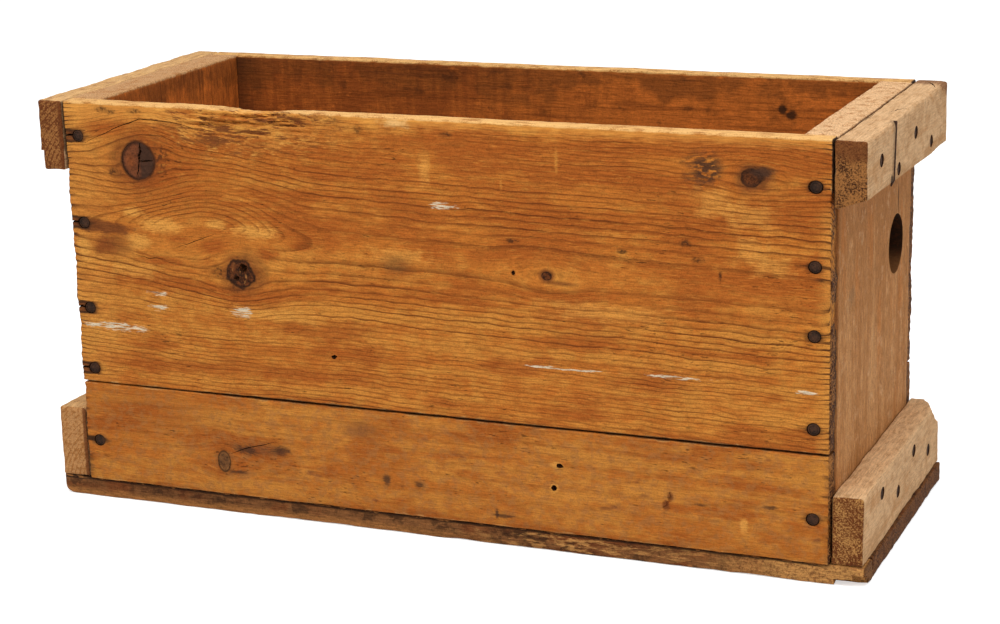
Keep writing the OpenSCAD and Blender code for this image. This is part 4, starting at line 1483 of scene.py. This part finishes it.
class BOX_OT_battens(bpy.types.Operator):
    """Four battens across the ends, rubbed and chipped"""
    bl_idname = "box.battens"
    bl_label = "Battens"

    def wood(self, node, colours, outer):
        wood = Wood(node.replace("batten", "lath"), node, Y, Z, X)
        middle = (wood.low.z + wood.high.z) / 2
        wood.rings(middle - 34.0, outer * 0.82, 3.0, wander=6.0, ripple=3.0)
        wood.tones(colours.weathered, colours.weathered_dark, colours.weathered_dark, colours.end_brown,
                   0.18, -0.05)
        speck = wood.grains(0.11, 5.0, 0.65)
        wood.paint(wood.step(speck, 0.50, 0.62), colours.weathered_dark, 0.6)
        streak = wood.stretched(0.012, 0.12, 0.12, detail=3.0, shift=4.0)
        wood.paint(wood.step(streak, 0.52, 0.68), colours.end_tan, 0.45)
        wood.paint(wood.step(wood.grains(0.07, 3.0, 0.6), 0.54, 0.70), colours.end_tan, 0.45)
        wood.dashes(0.35)
        wood.worn_arris(colours.weathered, 2.4, 0.6)
        if outer > 0.0:
            wood.rim(colours.weathered, colours.weathered_dark, 0.6)
        else:
            wood.rim(colours.straw, colours.end_brown, 0.6)
        inner = wood.low.x if outer > 0.0 else wood.high.x
        seam = abs(wood.deep - inner) + (wood.mottle - 0.5) * 1.6
        wood.paint(wood.step(seam, 0.8, 0.2), colours.saw_brown, 0.7)
        self.sawn(wood, colours, node)
        nails = node + "_nails"
        wood.nail_stain(nail_marks((nails,), Y, Z), outer, colours.grime_and_shade, 4.6, 7.0)
        if node == "right_upper_batten":
            line = abs(wood.along + 44.0 + (wood.across - wood.low.z) * -0.06)
            wood.paint(wood.step(line, 6.5, 0.8) * wood.skin(outer, 4.0), colours.iron, 0.40)
            foot = wood.spot(-47.5, wood.low.z + 5.0, 4.0, 5.5, ragged=0.8, soft=0.5)
            wood.paint(foot * wood.skin(outer, 4.0), colours.iron, 0.9)
            dark_end = wood.distance(106.0, wood.high.z, 22.0, 11.0, ragged=1.6)
            wood.paint(wood.step(dark_end, 1.0, 0.4), colours.red_stain, 0.75)
        if outer < 0.0:
            wood.paint(wood.step(seam, 3.6, 2.0) * wood.step(wood.end_gap, 1.6, 0.8), colours.red_stain, 0.85)
        return wood.done(0.85, 0.8)

    def sawn(self, wood, colours, node):
        """The sawn ends, each batten's with its own grain."""
        if node == "left_lower_batten":
            wood.sawn_ends(colours.end_tan, colours.end_brown, 1.0, 0.4, 0.30, -0.05)
        elif node == "left_upper_batten":
            wood.sawn_ends(colours.end_brown, colours.red_stain, 1.0, 0.8, 0.24)
        elif node == "right_lower_batten":
            wood.sawn_ends(colours.saw_gold, colours.red_stain, 1.0, 0.9, 0.10, 0.03)
        else:
            mask = wood.sawn_ends(colours.end_brown, colours.saw_brown, 1.0, 0.9, 0.03, -0.03)
            smooth = wood.step(wood.below_top + (wood.mottle - 0.5) * 12.0, 16.0, 8.0)
            wood.paint(mask * smooth, colours.red_stain, 0.7)

    def shape(self, node, low, high, finish):
        """Cutters for the batten's own worn form."""
        if node == "left_upper_batten":
            return [chip_cutter(Vector((low.x - 0.01, low.y - 0.01, low.z - 0.01)),
                                Vector((low.x + 0.0026, high.y + 0.01, low.z + 0.013)), finish, 2.0, 0.4)]
        if node == "right_upper_batten":
            return [self.corner(Vector((high.x, low.y, low.z)), Vector((-0.02, 0.218, 0.007)), finish, 0.2)]
        if node == "right_lower_batten":
            return [self.corner(high, Vector((-0.011, -0.027, -0.021)), finish, 1.7)]
        return []

    def corner(self, at, legs, finish, rough):
        """A block turned into a wedge with a broken face, which takes a corner off."""
        block = start_block("wedge", Vector(), Vector((1.0, 1.0, 1.0)))
        with editing(block):
            bpy.ops.mesh.select_all(action="SELECT")
            bpy.ops.mesh.bisect(
                plane_co=(1.0, 0.0, 0.0), plane_no=(1.0, 1.0, 1.0), use_fill=True, clear_outer=True)
            bpy.ops.mesh.select_all(action="SELECT")
            bpy.ops.mesh.subdivide(number_cuts=11)
        for vertex in block.data.vertices:
            far = Vector([-0.5 if part < 0.001 else part for part in vertex.co])
            spot = at + Vector((far.x * legs.x, far.y * legs.y, far.z * legs.z))
            vertex.co = spot + broken(spot, 5.0, rough)
        outward(block)
        block.data.materials.append(finish)
        return block

    def slits(self, node, high, dark):
        """Cracks in the top of the right upper batten."""
        if node != "right_upper_batten":
            return []
        top = Face(Y, X, Z, high.z, 1)
        return [
            crack_cutter(top, ((-52.0, 259.5), (-44.0, 262.0), (-28.0, 262.8), (-14.0, 261.6)), 0.9, 3.0,
                         dark, 1.0),
            crack_cutter(top, ((-14.0, 271.0), (-5.0, 273.5), (2.0, 277.5)), 1.2, 2.5, dark, 2.0),
            crack_cutter(top, ((98.0, 268.0), (92.0, 273.0), (80.0, 278.5)), 1.6, 3.0, dark, 3.0),
        ]

    def execute(self, context):
        colours = context.scene.box_colours
        wear = context.scene.box_wear
        dark = shared_finish("crack_dark", crack_finish)
        for end, side in (("left", -1), ("right", 1)):
            for level in ("upper", "lower"):
                node = end + "_" + level + "_batten"
                piece, low, high = blank("worn_" + node, node, wear.batten_arris, wear.cell * 0.8)
                outer = (high.x if side > 0 else low.x) * MM_PER_METRE
                piece.data.materials.append(self.wood(node, colours, outer))
                weather(piece, low, high, wear, Y, 1.5, 6.0)
                if node == "right_upper_batten":
                    ease_edge(piece, low, high, (X, 1), (Z, 1),
                              lambda place: 0.0036 + 0.0012 * noise.noise(Vector((place.y * 40.0, 0.0, 0.0))))
                    ease_edge(piece, low, high, (Y, 1), (Z, 1), lambda place: 0.0045)
                subtract(piece, self.shape(node, low, high, piece.data.materials[0]))
                subtract(piece, nail_bores(low, high, dark, Y))
                subtract(piece, self.slits(node, high, dark))
                finish_piece(piece, node)
        return {"FINISHED"}


class BOX_OT_nails(bpy.types.Operator):
    """All driven nails, modelled once and set into their holes"""
    bl_idname = "box.nails"
    bl_label = "Nails"

    def model(self, long):
        """One nail with a hammered head."""
        nail = turned_nail("nail", HEAD_RADIUS * MM, 0.0, SHANK_RADIUS * MM, long)
        up = Vector((0.0, 0.0, 1.0))
        with editing(nail):
            face_towards(nail, up)
            bpy.ops.mesh.bevel(offset=0.35 * MM, segments=2, affect="EDGES")
            face_towards(nail, up)
            bpy.ops.mesh.inset(thickness=1.0 * MM)
            bpy.ops.mesh.inset(thickness=1.0 * MM)
            bpy.ops.mesh.poke()
        return nail

    def execute(self, context):
        chance = random.Random(5)
        rust = shared_finish("nail_rust", rust_finish)
        for node in NAIL_NODES:
            places = nail_places(node)
            master = self.model(places[0].long)
            master.data.materials.append(rust)
            copies = []
            for place in places:
                nail = master.copy()
                nail.data = master.data.copy()
                context.collection.objects.link(nail)
                seed = Vector((chance.uniform(0.0, 50.0), chance.uniform(0.0, 50.0), 0.0))
                for vertex in nail.data.vertices:
                    if vertex.co.z > -HEAD_THICK * MM * 1.1:
                        dent = noise.noise(vertex.co * 420.0 + seed)
                        vertex.co.x *= 1.0 + 0.07 * dent
                        vertex.co.y *= 1.0 - 0.05 * dent
                        vertex.co.z += 0.25 * MM * noise.noise(vertex.co * 300.0 - seed)
                nail.data.transform(driven(place, chance.uniform(0.0, 6.28), chance.uniform(-0.05, 0.05)))
                copies.append(nail)
            bpy.data.objects.remove(master)
            take(copies[0])
            for nail in copies[1:]:
                nail.select_set(True)
            bpy.ops.object.join()
            group = copies[0]
            group.name = "rusty_" + node
            finish_piece(group, node)
        return {"FINISHED"}


class BOX_OT_lid_nail(bpy.types.Operator):
    """Old bent nail in the face of the right upper batten"""
    bl_idname = "box.lid_nail"
    bl_label = "Lid Nail"

    def execute(self, context):
        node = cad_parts["lid_nail"]
        for slot in node.material_slots:
            slot.material = shared_finish("nail_rust", rust_finish)
        return {"FINISHED"}


WHITE = (1.0, 1.0, 1.0)


class BOX_OT_stage(bpy.types.Operator):
    """Camera, soft light and a pale floor"""
    bl_idname = "box.stage"
    bl_label = "Stage"

    # The sensor's width in mm, the rest in metres
    SENSOR_WIDE = 36.0
    FLOOR_SIZE = 30.0
    FLOOR_DROP = 0.0002
    LAMP_SIZE = 1.8
    LAMP_PLACE = (0.35, -1.0, 2.2)
    LAMP_AIM = Vector((0.0, 0.0, 0.15))

    def camera(self, context, stage):
        azimuth, elevation, roll = stage.camera_turn
        back = Vector((math.sin(azimuth) * math.cos(elevation), -math.cos(azimuth) * math.cos(elevation),
                       math.sin(elevation)))
        level = Vector((math.cos(azimuth), math.sin(azimuth), 0.0))
        right = level * math.cos(roll) + back.cross(level) * math.sin(roll)
        up = back.cross(right)
        lens = bpy.data.cameras.new("photo_camera")
        lens.sensor_width = self.SENSOR_WIDE
        lens.lens = stage.focal_length
        camera = bpy.data.objects.new("photo_camera", lens)
        context.collection.objects.link(camera)
        turn = Matrix((right, up, back)).transposed().to_4x4()
        camera.matrix_world = Matrix.Translation(Vector(stage.camera_place)) @ turn
        context.scene.camera = camera

    def sky(self, context, stage):
        """Even light from all round, which the camera sees as white."""
        sky = Finish(bpy.data.worlds.new("soft_sky"))
        light = sky.node("ShaderNodeBackground", None, {"Color": WHITE, "Strength": stage.sky})
        white = sky.node("ShaderNodeBackground", None, {"Color": WHITE, "Strength": 1.0})
        either = sky.node("ShaderNodeMixShader", None, {0: sky.seen(), 1: light, 2: white})
        sky.node("ShaderNodeOutputWorld", None, {"Surface": either})
        context.scene.world = sky.owner

    def floor(self, context, stage):
        """A pale floor that keeps the shadow."""
        clear_selection()
        bpy.ops.mesh.primitive_plane_add(size=self.FLOOR_SIZE, location=(0.0, 0.0, -self.FLOOR_DROP))
        plane = context.object
        plane.name = "pale_floor"
        bpy.ops.object.transform_apply(location=True, rotation=True, scale=True)
        floor = Finish(bpy.data.materials.new("pale_floor"))
        matt = floor.node("ShaderNodeBsdfDiffuse", None, {"Color": stage.floor})
        glow = floor.node("ShaderNodeEmission", None, {"Color": WHITE, "Strength": stage.floor_glow})
        dark = floor.node("ShaderNodeEmission", None, {"Color": (0.0, 0.0, 0.0), "Strength": 0.0})
        lift = floor.node("ShaderNodeMixShader", None, {0: floor.seen(), 1: dark, 2: glow})
        total = floor.node("ShaderNodeAddShader", None, {0: matt, 1: lift})
        floor.node("ShaderNodeOutputMaterial", None, {"Surface": total})
        plane.data.materials.append(floor.owner)

    def lamp(self, context, stage):
        light = bpy.data.lights.new("soft_lamp", "AREA")
        light.shape = "SQUARE"
        light.size = self.LAMP_SIZE
        light.energy = stage.lamp_power
        lamp = bpy.data.objects.new("soft_lamp", light)
        context.collection.objects.link(lamp)
        lamp.location = self.LAMP_PLACE
        aim = self.LAMP_AIM - lamp.location
        lamp.rotation_euler = aim.to_track_quat("-Z", "Y").to_euler()

    def execute(self, context):
        stage = context.scene.box_stage
        self.camera(context, stage)
        self.sky(context, stage)
        self.lamp(context, stage)
        self.floor(context, stage)
        context.scene.view_settings.view_transform = "Standard"
        return {"FINISHED"}


STEPS = (
    BOX_OT_stage, BOX_OT_front_upper_board, BOX_OT_front_lower_board, BOX_OT_back_boards, BOX_OT_end_boards,
    BOX_OT_bottom_boards, BOX_OT_battens, BOX_OT_nails, BOX_OT_lid_nail,
)


class BOX_PT_steps(bpy.types.Panel):
    """Lists the pieces of the box and its settings"""
    bl_idname = "BOX_PT_steps"
    bl_label = "Pine Box"
    bl_space_type = "VIEW_3D"
    bl_region_type = "UI"
    bl_category = "Pine Box"

    def draw(self, context):
        for step in STEPS:
            self.layout.operator(step.bl_idname)
        for settings in (context.scene.box_colours, context.scene.box_wear, context.scene.box_stage):
            column = self.layout.column()
            for name in settings.__annotations__:
                column.prop(settings, name)


SETTINGS = (BoxColours, BoxWear, BoxStage)


def register():
    for kind in (*SETTINGS, *STEPS, BOX_PT_steps):
        bpy.utils.register_class(kind)
    bpy.types.Scene.box_colours = bpy.props.PointerProperty(type=BoxColours)
    bpy.types.Scene.box_wear = bpy.props.PointerProperty(type=BoxWear)
    bpy.types.Scene.box_stage = bpy.props.PointerProperty(type=BoxStage)


def unregister():
    del bpy.types.Scene.box_stage
    del bpy.types.Scene.box_wear
    del bpy.types.Scene.box_colours
    for kind in reversed((*SETTINGS, *STEPS, BOX_PT_steps)):
        bpy.utils.unregister_class(kind)


def main():
    register()
    for step in STEPS:
        family, name = step.bl_idname.split(".")
        getattr(getattr(bpy.ops, family), name)()


if __name__ == "__main__":
    main()
